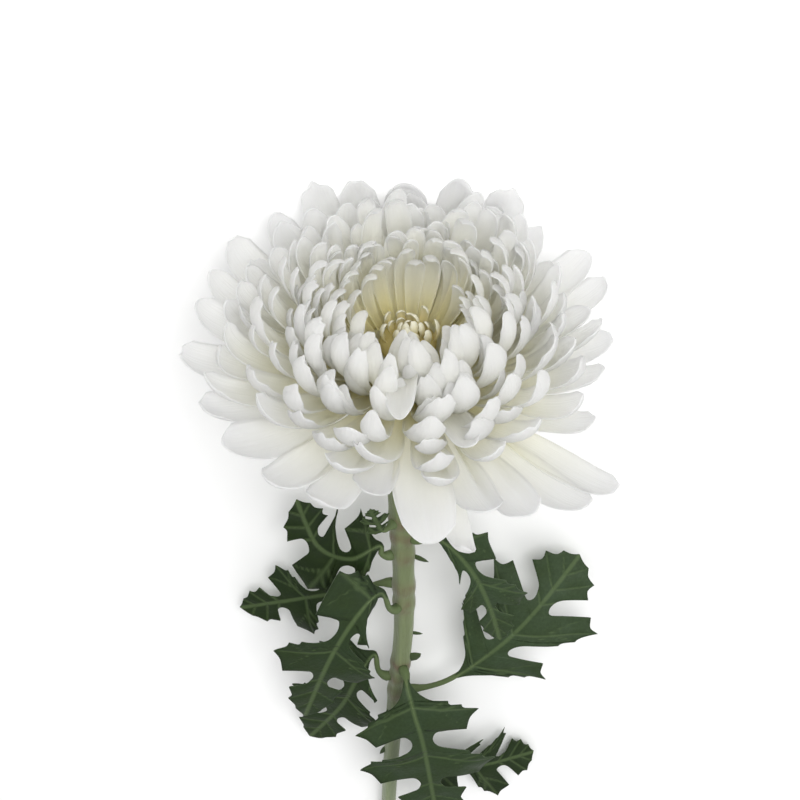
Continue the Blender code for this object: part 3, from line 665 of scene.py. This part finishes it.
# Rows of bracts: how many, root radius and height, reach and height of the tip, width
BRACT_ROWS = (
    (10, 12.1, -1.6, 19.6, 1.6, 6.6),
    (12, 10.4, -3.2, 17.6, -0.4, 6.0),
    (9, 8.1, -4.6, 15.8, -2.6, 5.4),
    (9, 6.2, -6.2, 11.6, -5.0, 4.4),
    (7, 4.8, -7.6, 8.6, -7.6, 3.4),
)
BRACT_STATIONS = np.array((0.0, 0.14, 0.28, 0.42, 0.55, 0.67, 0.78, 0.88, 0.95, 1.0))
BRACT_COLUMNS = 7
BRACT_THICKNESS = 0.6 * MM
lines = []
for row, (count, root_radius, root_height, reach, height, width) in enumerate(BRACT_ROWS):
    for i in range(count):
        lines.append(
            petal_row(
                shy, (root_radius, root_height), (reach, height), width,
                bend=shy.uniform(4.0, 20.0), hood=shy.uniform(-20.0, 15.0),
                angle=360.0 * (i + 0.5 * row) / count, sweep=shy.uniform(-6.0, 6.0),
                roll=shy.uniform(-8.0, 8.0), cup=32.0, close=0.0, foot=0.85, blunt=0.55, point=1.2,
                teeth=0.0, wave=0.15,
            )
        )
face, back = petal_grid(np.array(lines), BRACT_STATIONS, BRACT_COLUMNS, BRACT_THICKNESS)
points, quads = shells(face, back)
bract_numbers = blade_numbers(face.shape[:3], BRACT_STATIONS, BRACT_COLUMNS)
BRACT_STOPS = ((0.0, (0.20, 0.30, 0.08)), (0.6, (0.26, 0.35, 0.11)), (1.0, (0.17, 0.22, 0.07)))
BRACT_MOTTLE = (0.12, 0.19, 0.06, 1.0)
BRACT_EDGE = (0.30, 0.22, 0.10, 1.0)


def bract_material():
    """Yellow-green flesh, darker at root and tip, and a brown dry edge."""
    material, tree, output = blank_material("bract_flesh")
    across = maths(tree, "ABSOLUTE", number(tree, "across"))
    place = add_node(tree, "ShaderNodeTexCoord").outputs["Object"]
    streaked = add_node(tree, "ShaderNodeMapping", {"Vector": place, "Scale": (1.0, 0.25, 1.0)}).outputs[0]
    streaks, blotches = fibres_at(tree, streaked, place, 1500.0, 300.0)
    body = ramp(tree, number(tree, "along"), BRACT_STOPS)
    mottled = blend(tree, maths(tree, "MULTIPLY", blotches, 0.4), body, BRACT_MOTTLE)
    rim = maths(tree, "MULTIPLY", span(tree, across, 0.72, 0.95), 0.65)
    edged = blend(tree, rim, mottled, BRACT_EDGE)
    bump = add_node(tree, "ShaderNodeBump", {"Strength": 0.4, "Distance": 0.0003, "Height": streaks})
    flesh = add_node(
        tree, "ShaderNodeBsdfPrincipled", {"Base Color": edged, "Roughness": 0.5, "Normal": bump.outputs[0]}
    )
    tree.links.new(flesh.outputs[0], output.inputs["Surface"])
    return material


cup_points, cup_faces = turned(CALYX_PROFILE, CALYX_SIDES)
make_piece(
    "calyx_bracts",
    [(points, quads, bract_numbers), (cup_points, cup_faces, {"along": 0.4})],
    bract_material(),
    "bract_green",
    "calyx",
)

# The stem: round and solid, with five low ribs along it, a little thicker where leaves grow, and cut straight
# at its end. The skin is dull and covered in very short hairs.
STEM_POINTS = (
    (0.0, 46.7, 36.05),
    (0.5, 54.5, 32.7),
    (1.6, 65.5, 29.4),
    (2.4, 83.5, 26.4),
    (1.2, 108.0, 23.4),
    (0.8, 128.0, 21.0),
    (0.8, 144.5, 19.0),
    (1.8, 160.5, 16.9),
    (3.7, 182.5, 13.7),
    (5.6, 216.5, 8.8),
    (6.6, 240.5, 5.4),
    (6.9, 256.5, 2.72),
)
STEM_RADII = (4.3, 4.0, 3.9, 3.85, 3.8, 3.6, 3.45, 3.3, 3.15, 3.0, 2.9, 2.85)
STEM_ROWS = 240
STEM_SIDES = 40
# Leaves and shoots grow from the places of a coarser row of rings
STEM_RINGS = 30
RIB_COUNT = 5.0
RIB_DEPTH = 0.033
JOINT_LENGTH = 0.014
JOINT_SWELL = 0.14
# Where each leaf grows, as a share of the stem's length from the head
LEAF_PLACES = {
    "leaf_upper_left": 0.30,
    "leaf_left": 0.37,
    "leaf_front_left": 0.40,
    "leaf_lower_left": 0.59,
    "leaf_front": 0.54,
    "leaf_lower_right": 0.74,
    "leaf_upper_right": 0.27,
    "leaf_right": 0.62,
    "leaf_small": 0.245,
}
CURVE_STEPS = 16


def curve_through(points, count):
    """Points spaced evenly along a smooth curve.

    Each span is the cubic whose slopes at its ends are half the step between the neighbours.
    """
    points = np.asarray(points, float)
    start, end = points[:-1], points[1:]
    before = np.vstack((points[:1], points[:-2]))
    after = np.vstack((points[2:], points[-1:]))
    t = np.linspace(0.0, 1.0, CURVE_STEPS, endpoint=False)[None, :, None]
    b, s, e, a = (p[:, None, :] for p in (before, start, end, after))
    dense = 0.5 * (2 * s + (e - b) * t + (2 * b - 5 * s + 4 * e - a) * t**2 + (3 * s - 3 * e + a - b) * t**3)
    dense = np.vstack((dense.reshape(-1, points.shape[1]), points[-1:]))
    gone = np.concatenate(((0.0,), np.cumsum(np.linalg.norm(np.diff(dense, axis=0), axis=1))))
    wanted = np.linspace(0.0, gone[-1], count)
    return np.stack([np.interp(wanted, gone, dense[:, k]) for k in range(points.shape[1])], axis=1)


def unit(vectors):
    """The same directions with length 1."""
    return vectors / np.linalg.norm(vectors, axis=-1, keepdims=True)


def path_frame(path):
    """Directions level across a path, and square to that and to the path."""
    along = unit(np.gradient(path, axis=0))
    across = unit(np.cross(along, (0.0, 0.0, 1.0)))
    return across, np.cross(across, along)


def tube(path, radii, sides):
    """A closed round tube along a path: each ring is a circle across the path there."""
    across, upward = path_frame(path)
    angles = np.linspace(0.0, math.tau, sides, endpoint=False)[None, :, None]
    radii = np.asarray(radii)
    radii = radii[:, None, None] if radii.ndim == 1 else radii[:, :, None]
    rings = path[:, None] + radii * (np.cos(angles) * across[:, None] + np.sin(angles) * upward[:, None])
    return closed_rings(rings)


def ring_number(share):
    """The coarse ring nearest to a share of the stem's length."""
    return round(share * (STEM_RINGS - 1))


def stem_radius(share):
    """The stem's radius at a share of its length, without ribs and joints."""
    return np.interp(share, np.linspace(0.0, 1.0, len(STEM_RADII)), STEM_RADII) * MM


stem_path = curve_through(np.array(STEM_POINTS) * MM, STEM_ROWS)
coarse_path = curve_through(np.array(STEM_POINTS) * MM, STEM_RINGS)
share = np.linspace(0.0, 1.0, STEM_ROWS)
joint = np.zeros(STEM_ROWS)
for place in LEAF_PLACES.values():
    ring_share = ring_number(place) / (STEM_RINGS - 1)
    joint = np.maximum(joint, np.exp(-(((share - ring_share) / JOINT_LENGTH) ** 2)))
turns = np.linspace(0.0, math.tau, STEM_SIDES, endpoint=False)
ribs = np.cos(RIB_COUNT * turns)
girth = stem_radius(share) * (1.0 + JOINT_SWELL * joint)
stem_skin = tube(stem_path, girth[:, None] * (1.0 - RIB_DEPTH + RIB_DEPTH * ribs), STEM_SIDES)
stem_numbers = {
    "along": np.repeat(share, STEM_SIDES),
    "joint": np.repeat(joint, STEM_SIDES),
    "rib": np.broadcast_to(0.5 + 0.5 * ribs, (STEM_ROWS, STEM_SIDES)).ravel(),
}
STEM_STOPS = (
    (0.0, (0.20, 0.26, 0.07)),
    (0.12, (0.105, 0.135, 0.045)),
    (0.5, (0.125, 0.155, 0.065)),
    (1.0, (0.17, 0.21, 0.115)),
)
STEM_RIB_GREEN = (0.22, 0.27, 0.13, 1.0)
STEM_STREAK_GREEN = (0.07, 0.10, 0.03, 1.0)
STEM_JOINT_BROWN = (0.10, 0.045, 0.025, 1.0)


def stem_material():
    """Dull green skin, paler on the ribs and lower down, with brown marks at the joints."""
    material, tree, output = blank_material("stem_skin")
    place = add_node(tree, "ShaderNodeTexCoord").outputs["Object"]
    streaked = add_node(tree, "ShaderNodeMapping", {"Vector": place, "Scale": (1.0, 0.06, 1.0)}).outputs[0]
    streaks, blotches = fibres_at(tree, streaked, place, 1400.0, 220.0)
    body = ramp(tree, number(tree, "along"), STEM_STOPS)
    ribbed = blend(tree, maths(tree, "MULTIPLY", number(tree, "rib"), 0.35), body, STEM_RIB_GREEN)
    streaky = blend(tree, maths(tree, "MULTIPLY", streaks, 0.35), ribbed, STEM_STREAK_GREEN)
    patch = maths(tree, "MULTIPLY", number(tree, "joint"), blotches)
    marked = blend(tree, maths(tree, "MULTIPLY", patch, 0.75, clamp=True), streaky, STEM_JOINT_BROWN)
    down = add_node(tree, "ShaderNodeTexNoise", {"Vector": place, "Scale": 3800.0, "Detail": 1.0}).outputs[0]
    height = maths(tree, "ADD", streaks, maths(tree, "MULTIPLY", down, 0.8))
    bump = add_node(tree, "ShaderNodeBump", {"Strength": 0.45, "Distance": 0.0003, "Height": height})
    skin = add_node(
        tree,
        "ShaderNodeBsdfPrincipled",
        {"Base Color": marked, "Roughness": 0.55, "Sheen Weight": 0.25, "Normal": bump.outputs[0]},
    )
    tree.links.new(skin.outputs[0], output.inputs["Surface"])
    return material


make_piece("stem_skin", [(*stem_skin, stem_numbers)], stem_material(), "stem_green", "stem")

# The leaves: dark, dull and thin, each with a round stalk that runs on as a pale midrib, two lobes on each
# side and an end lobe, all with pointed teeth. Side veins run out to the lobes and teeth.
RIB_SLANT = 0.47
# Half an outline: runs of points between teeth, as shares of the leaf's length along the rib and to the side
LEAF_RUNS = (
    ((0.0, 0.012), (0.05, 0.03), (0.10, 0.065), (0.15, 0.125), (0.187, 0.205)),
    ((0.187, 0.205), (0.209, 0.212), (0.238, 0.272)),
    ((0.238, 0.272), (0.262, 0.283), (0.305, 0.358)),
    ((0.305, 0.358), (0.322, 0.300), (0.378, 0.262)),
    (
        (0.378, 0.262), (0.349, 0.20), (0.323, 0.14), (0.309, 0.087),
        (0.345, 0.060), (0.40, 0.08), (0.447, 0.145), (0.502, 0.252),
    ),
    ((0.502, 0.252), (0.525, 0.262), (0.556, 0.325)),
    ((0.556, 0.325), (0.588, 0.333), (0.655, 0.398)),
    ((0.655, 0.398), (0.668, 0.335), (0.722, 0.292)),
    (
        (0.722, 0.292), (0.691, 0.225), (0.659, 0.155), (0.634, 0.087),
        (0.67, 0.058), (0.724, 0.076), (0.757, 0.122), (0.802, 0.205),
    ),
    ((0.802, 0.205), (0.845, 0.165), (0.888, 0.18)),
    ((0.888, 0.18), (0.915, 0.118), (0.955, 0.095)),
    ((0.955, 0.095), (0.972, 0.045), (0.998, 0.004)),
)
# Veins of half a leaf: from and to, in the same shares
LEAF_VEINS = (
    ((0.13, 0.0), (0.302, 0.352)),
    ((0.17, 0.08), (0.187, 0.200)),
    ((0.213, 0.17), (0.237, 0.267)),
    ((0.205, 0.153), (0.372, 0.258)),
    ((0.44, 0.0), (0.651, 0.391)),
    ((0.494, 0.10), (0.502, 0.247)),
    ((0.543, 0.19), (0.556, 0.320)),
    ((0.516, 0.14), (0.717, 0.288)),
    ((0.66, 0.0), (0.80, 0.20)),
    ((0.76, 0.0), (0.886, 0.176)),
    ((0.86, 0.0), (0.953, 0.092)),
)
LEAF_COLUMNS = 9
# Each leaf: the points that its rib passes, the bare share of the rib, the half sizes on the right and left,
# how far the lobes stand back, the droop, the turn about the rib in degrees, and the tint from dark to pale,
# which is painted light: dark for leaves that lie in shade, paler and greyer for lit leaves with a sheen
LEAVES = {
    "leaf_upper_left": (
        ((9.0, 106.6, 26.0), (18.5, 111.0, 27.0), (29.5, 108.6, 23.0), (36.6, 94.0, 17.5)),
        0.13, 0.98, 0.98, 0.25, 0.25, 6.0, 0.0,
    ),
    "leaf_left": (
        ((11.9, 128.5, 18.0), (24.8, 133.3, 15.0), (41.1, 139.6, 10.5), (60.3, 146.9, 5.0)),
        0.20, 0.74, 0.92, 0.3, 0.20, 0.0, 0.1,
    ),
    "leaf_front_left": (
        ((8.6, 120.7, 32.5), (16.7, 126.6, 38.0), (26.2, 145.6, 36.8), (36.4, 179.0, 26.0)),
        0.15, 0.60, 0.62, 0.34, 0.36, -6.0, 0.35,
    ),
    "leaf_lower_left": (
        ((11.4, 157.4, 18.5), (17.3, 166.0, 21.0), (24.1, 183.5, 16.0), (36.9, 206.1, 7.0)),
        0.17, 0.80, 0.68, 0.2, 0.25, 6.0, 0.3,
    ),
    "leaf_front": (
        ((-0.6, 165.6, 27.7), (-3.0, 174.5, 31.3), (-6.4, 190.0, 30.2), (-12.4, 236.8, 20.4)),
        0.05, 0.82, 0.80, 0.32, 0.25, 0.0, 0.6,
    ),
    "leaf_lower_right": (
        ((-3.8, 205.5, 9.0), (-13.8, 218.0, 7.5), (-28.6, 221.8, 6.0), (-50.2, 217.6, 2.8)),
        0.335, 1.05, 1.02, -0.1, 0.10, 0.0, 0.15,
    ),
    "leaf_upper_right": (
        ((-10.1, 100.4, 31.0), (-19.9, 109.1, 34.0), (-27.2, 125.6, 31.0), (-32.5, 146.0, 25.0)),
        0.10, 0.48, 0.56, 0.1, 0.30, 8.0, 0.75,
    ),
    "leaf_right": (
        ((-16.1, 173.2, 13.5), (-34.4, 153.7, 17.0), (-47.0, 138.7, 15.0), (-60.6, 121.8, 8.5)),
        0.22, 0.95, 0.95, -0.15, 0.20, 0.0, 0.85,
    ),
    "leaf_small": (
        ((8.4, 95.9, 32.4), (11.6, 85.8, 37.0)),
        0.20, 0.9, 0.9, 0.1, 0.2, 0.0, 0.2,
    ),
}
RIB_SAMPLES = 160
# The blade follows the rib's direction over these samples on both sides: at its foot, and past WINDOW_GROWTH
STALK_WINDOW = 3.0
BLADE_WINDOW = 34.0
WINDOW_GROWTH = 0.08
MARGIN_STEP = 0.012
COLUMN_POWER = 0.85
LAST_STATION = 0.999
WAVE_HEIGHT = 0.020
WAVE_TURNS = (15.0, 3.0)
WAVE_GROWTH = 4.0
BLADE_PUFF = 0.6 * MM
PUFF_REACH = 1.5 * MM
# Half the blade's thickness at the rib in millimetres, and what it loses towards the edge
HALF_THICKNESS = (0.34, 0.16)
STALK_GAP = 0.6 * MM
STALK_RISE = 3.0 * MM
ROOT_SHARE = 0.7
STALK_SIDES = 12
STALK_RADIUS = 0.98
STALK_SWELL = 0.9
STALK_FOOT = 0.05
# The midrib's radius at its tip in millimetres, what it gains towards the stalk, and with which power
MIDRIB_TAPER = (0.15, 0.75, 1.1)
STALK_SKIP = 4
EASED_SAMPLES = 12
FAR_FROM_VEINS = 9.0


def leaf_margin(step):
    """The runs of half an outline as one row of points, about a step apart."""
    pieces = []
    for run in LEAF_RUNS:
        reach = np.sum(np.linalg.norm(np.diff(run, axis=0), axis=1))
        pieces.append(curve_through(run, max(4, int(reach / step)))[1 if pieces else 0:])
    return np.vstack(pieces)


def distance_to_veins(places):
    """How far flat places are from the nearest vein: the least distance to any of its straight pieces."""
    nearest = np.full(places.shape[:-1], FAR_FROM_VEINS)
    for start, end in LEAF_VEINS:
        start, way = np.array(start), np.subtract(end, start)
        share = np.clip(((places - start) @ way) / (way @ way), 0.0, 1.0)
        gap = np.linalg.norm(places - start - share[..., None] * way, axis=-1)
        nearest = np.minimum(nearest, gap + 0.004 * share)
    return nearest


def leaf_rib(share, points):
    """A leaf's rib, from just off the stem's skin through its points, and the place in the stem behind it."""
    ring = ring_number(share)
    foot = coarse_path[ring]
    stem_along = unit(coarse_path[ring + 1] - coarse_path[ring - 1])
    outward = np.array(points[0]) * MM - foot
    outward = unit(outward - outward @ stem_along * stem_along)
    radius = stem_radius(share) * (1.0 + JOINT_SWELL)
    start = foot + outward * (radius + STALK_GAP)
    passed = np.vstack((start, start + outward * STALK_RISE, np.array(points) * MM))
    return curve_through(passed, RIB_SAMPLES + 1), foot + outward * radius * ROOT_SHARE


def leaf_blade(rib, bare, right, left, spread, droop, turn, tint):
    """A leaf's thin blade: its points, faces and numbers.

    Each point of the outline is joined to a place on the rib further back, by the slant times its distance
    out. Between the two, the blade goes straight, sags by droop times the distance squared, waves a
    little and swells between the veins. All of it is carried along the bent rib.
    """
    length = np.sum(np.linalg.norm(np.diff(rib, axis=0), axis=1)) * (1.0 - bare)
    margin = leaf_margin(MARGIN_STEP)
    raw = margin[:, 0] - RIB_SLANT * margin[:, 1]
    station = np.minimum(np.maximum.accumulate(np.maximum(raw, 0.0)), LAST_STATION)
    at = (bare + (1.0 - bare) * station) * RIB_SAMPLES
    window = STALK_WINDOW + (BLADE_WINDOW - STALK_WINDOW) * np.clip(station / WINDOW_GROWTH, 0.0, 1.0)
    rib_at, ahead_at, behind_at = (
        np.stack([np.interp(place, np.arange(RIB_SAMPLES + 1), rib[:, k]) for k in range(3)], axis=1)
        for place in (at, at + window, at - window)
    )
    along_at = unit(ahead_at - behind_at)
    across_at = unit(np.cross(along_at, (0.0, 0.0, 1.0)))
    c, s = math.cos(math.radians(turn)), math.sin(math.radians(turn))
    across_at = c * across_at + s * np.cross(along_at, across_at)
    upward_at = np.cross(across_at, along_at)

    w = np.linspace(0.0, 1.0, LEAF_COLUMNS) ** COLUMN_POWER
    w = np.concatenate((-w[:0:-1], w))[None, :]
    size = np.where(w < 0.0, left, right)
    side = np.sign(w)
    s_out, q_out = margin[:, :1], margin[:, 1:]
    out = np.abs(w) * size * q_out
    ahead = np.abs(w) * (s_out - spread * size * q_out - station[:, None])
    flat = np.stack((station[:, None] + np.abs(w) * (s_out - station[:, None]), np.abs(w) * q_out), axis=-1)
    ripple = np.sin(WAVE_TURNS[0] * flat[..., 0] + side + WAVE_TURNS[1] * out)
    wave = WAVE_HEIGHT * ripple * np.minimum(1.0, WAVE_GROWTH * out)
    vein = distance_to_veins(flat) * length
    rib_gap = out * length
    puff = BLADE_PUFF * (1.0 - np.exp(-np.minimum(vein, rib_gap) / PUFF_REACH))
    sag = length * (wave - droop * out**2) + puff
    place = (
        rib_at[:, None]
        + (length * ahead)[..., None] * along_at[:, None]
        + (length * side * out)[..., None] * across_at[:, None]
        + sag[..., None] * upward_at[:, None]
    )
    thickness = (HALF_THICKNESS[0] - HALF_THICKNESS[1] * np.abs(w)) * MM * np.ones_like(out)
    half = thickness[..., None] * upward_at[:, None]
    face, back = (place + half)[None], (place - half)[None]
    face[..., 2] = np.maximum(face[..., 2], 0.4 * MM)
    back[..., 2] = np.maximum(back[..., 2], 0.1 * MM)
    numbers = {
        "vein": both_faces(vein[None]) / MM,
        "midrib": both_faces(rib_gap[None]) / MM,
        "underside": back_numbers(face.shape[:3]),
        "stalk": 0.0,
        "tint": tint,
    }
    return (*shells(face, back), numbers)


def leaf_stalk(rib, base, bare, tint):
    """A leaf's round stalk, which runs on as the midrib: its points, faces and numbers.

    The path starts inside the stem. Each place on it is the mean of the rib's places beside it, up to
    EASED_SAMPLES - 1 on each side along the stalk and none further on. The radius shrinks towards the tip, and
    past the foot of the blade the path sinks by most of that radius.
    """
    settled = np.vstack((np.repeat(base[None], EASED_SAMPLES, axis=0), rib))
    total = np.vstack((np.zeros((1, 3)), np.cumsum(settled, axis=0)))
    sample = np.arange(RIB_SAMPLES + 1)
    here = sample + EASED_SAMPLES
    beside = np.minimum(sample + 8, bare * RIB_SAMPLES + 4 - sample)
    beside = np.clip(beside, 0, EASED_SAMPLES - 1).astype(int)
    eased = (total[here + beside + 1] - total[here - beside]) / (2 * beside + 1)[:, None]
    reach = np.concatenate(((-0.02,), np.linspace(0.0, 1.0, RIB_SAMPLES + 1)[::STALK_SKIP]))
    swollen = 1.0 + STALK_SWELL * np.exp(-((reach / STALK_FOOT) ** 2))
    taper = np.clip(1.0 - (reach - bare) / (1.0 - bare), 0.0, 1.0)
    midrib = MIDRIB_TAPER[0] + MIDRIB_TAPER[1] * taper ** MIDRIB_TAPER[2]
    radii = np.where(reach < bare, STALK_RADIUS, midrib) * MM * swollen
    sunk = np.clip((reach - bare + 0.05) / 0.1, 0.0, 1.0) * (radii - 0.42 * MM * (0.4 + 0.6 * taper))
    _, upward = path_frame(rib)
    upward = np.concatenate((upward[:1], upward[::STALK_SKIP]))
    path = np.vstack((base[None], eased[::STALK_SKIP])) - upward * sunk[:, None]
    points, faces = tube(path, radii, STALK_SIDES)
    points[:, 2] = np.maximum(points[:, 2], 0.0)
    numbers = {"vein": FAR_FROM_VEINS, "midrib": 0.0, "underside": 0.0, "stalk": 1.0, "tint": tint}
    return points, faces, numbers


# The upper sides run from the first colour below to the second by each leaf's tint: painted shade on leaves
# that lie in shade, painted grey sheen on lit ones
LEAF_SHADED_DARK = (0.007, 0.017, 0.003, 1.0)
LEAF_LIT_PALE = (0.040, 0.066, 0.031, 1.0)
LEAF_MOTTLE = (0.022, 0.038, 0.008, 1.0)
LEAF_GRAIN = (0.007, 0.014, 0.003, 1.0)
LEAF_UNDERSIDE = (0.085, 0.120, 0.065, 1.0)
LEAF_VEIN = (0.085, 0.125, 0.050, 1.0)
LEAF_STALK = (0.095, 0.130, 0.055, 1.0)


def leaf_material():
    """Dark dull green with pale veins, greyer underneath, and a fine grain. Each leaf's tint paints light on
    it: darker where the leaf lies in shade, a paler grey green where it is lit and has a sheen.
    """
    material, tree, output = blank_material("leaf_flesh")
    place = add_node(tree, "ShaderNodeTexCoord").outputs["Object"]
    streaks, blotches = fibres_at(tree, place, place, 900.0, 130.0)
    # Painted light: the tint darkens leaves that lie in shade and turns lit ones a paler, greyer green as a
    # sheen
    top = blend(tree, number(tree, "tint"), LEAF_SHADED_DARK, LEAF_LIT_PALE)
    mottled = blend(tree, maths(tree, "MULTIPLY", blotches, 0.45), top, LEAF_MOTTLE)
    grainy = blend(tree, maths(tree, "MULTIPLY", streaks, 0.30), mottled, LEAF_GRAIN)
    faced = blend(tree, number(tree, "underside"), grainy, LEAF_UNDERSIDE)
    side_vein = span(tree, number(tree, "vein"), 0.75, 0.15)
    middle = maths(tree, "MULTIPLY", span(tree, number(tree, "midrib"), 1.1, 0.35), 0.6)
    lines = maths(tree, "MAXIMUM", maths(tree, "MULTIPLY", side_vein, 0.45), middle)
    veined = blend(tree, lines, faced, LEAF_VEIN)
    stalked = blend(tree, number(tree, "stalk"), veined, LEAF_STALK)
    dip = maths(tree, "SUBTRACT", maths(tree, "MULTIPLY", streaks, 0.5), side_vein)
    bump = add_node(tree, "ShaderNodeBump", {"Strength": 0.5, "Distance": 0.0003, "Height": dip})
    roughness = maths(tree, "MULTIPLY_ADD", blotches, 0.15, 0.48)
    flesh = add_node(
        tree,
        "ShaderNodeBsdfPrincipled",
        {"Base Color": stalked, "Roughness": roughness, "Specular IOR Level": 0.16, "Normal": bump.outputs[0]},
    )
    tree.links.new(flesh.outputs[0], output.inputs["Surface"])
    return material


leaf_flesh = leaf_material()
for leaf_name, (rib_points, bare, *form, tint) in LEAVES.items():
    rib, base = leaf_rib(LEAF_PLACES[leaf_name], rib_points)
    parts = [leaf_blade(rib, bare, *form, tint), leaf_stalk(rib, base, bare, tint)]
    make_piece(leaf_name.replace("leaf_", "") + "_leaf", parts, leaf_flesh, "leaf_green", leaf_name)

# The shoots: small pointed buds and folded leaflets in the leaf joints, flat spindles of the leaves' green.
# They grow from the stem's middle line and taper to a point.
# Each one: share of the stem's length, tip and width
SHOOTS = (
    (0.115, (5.6, 78.5, 34.0), 4.6),
    (0.150, (-4.2, 90.0, 30.0), 2.8),
    (0.305, (-7.4, 113.5, 25.5), 3.4),
    (0.470, (-5.8, 147.0, 20.5), 2.6),
    (0.550, (-5.2, 156.0, 20.0), 4.6),
    (0.665, (8.4, 193.5, 16.0), 4.2),
    (0.775, (10.0, 212.0, 10.5), 2.4),
)
SHOOT_STATIONS = (0.0, 0.15, 0.4, 0.62, 0.84, 1.0)
SHOOT_WIDTHS = (0.45, 0.5, 0.85, 1.0, 0.66, 0.03)
SHOOT_ROWS = 18
SHOOT_SIDES = 14
SHOOT_FLATNESS = 0.35
SHOOT_NUMBERS = {
    "vein": FAR_FROM_VEINS, "midrib": FAR_FROM_VEINS, "underside": 0.0, "stalk": 0.35, "tint": 0.5,
}
shoot_parts = []
for share_of_stem, tip, width in SHOOTS:
    root = coarse_path[ring_number(share_of_stem)]
    end = np.array(tip) * MM
    along = unit(end - root)
    across = unit(np.cross(along, (0.3, 0.5, 0.8)))
    flat = np.cross(across, along)
    t = np.linspace(0.0, 1.0, SHOOT_ROWS)
    size = 0.5 * width * MM * np.interp(t, SHOOT_STATIONS, SHOOT_WIDTHS)
    angles = np.linspace(0.0, math.tau, SHOOT_SIDES, endpoint=False)[:, None]
    ring = np.cos(angles) * across + SHOOT_FLATNESS * np.sin(angles) * flat
    middle = root + t[:, None] * (end - root)
    shoot_parts.append((*closed_rings(middle[:, None] + ring * size[:, None, None]), SHOOT_NUMBERS))
make_piece("stem_shoots", shoot_parts, leaf_flesh, "leaf_green")
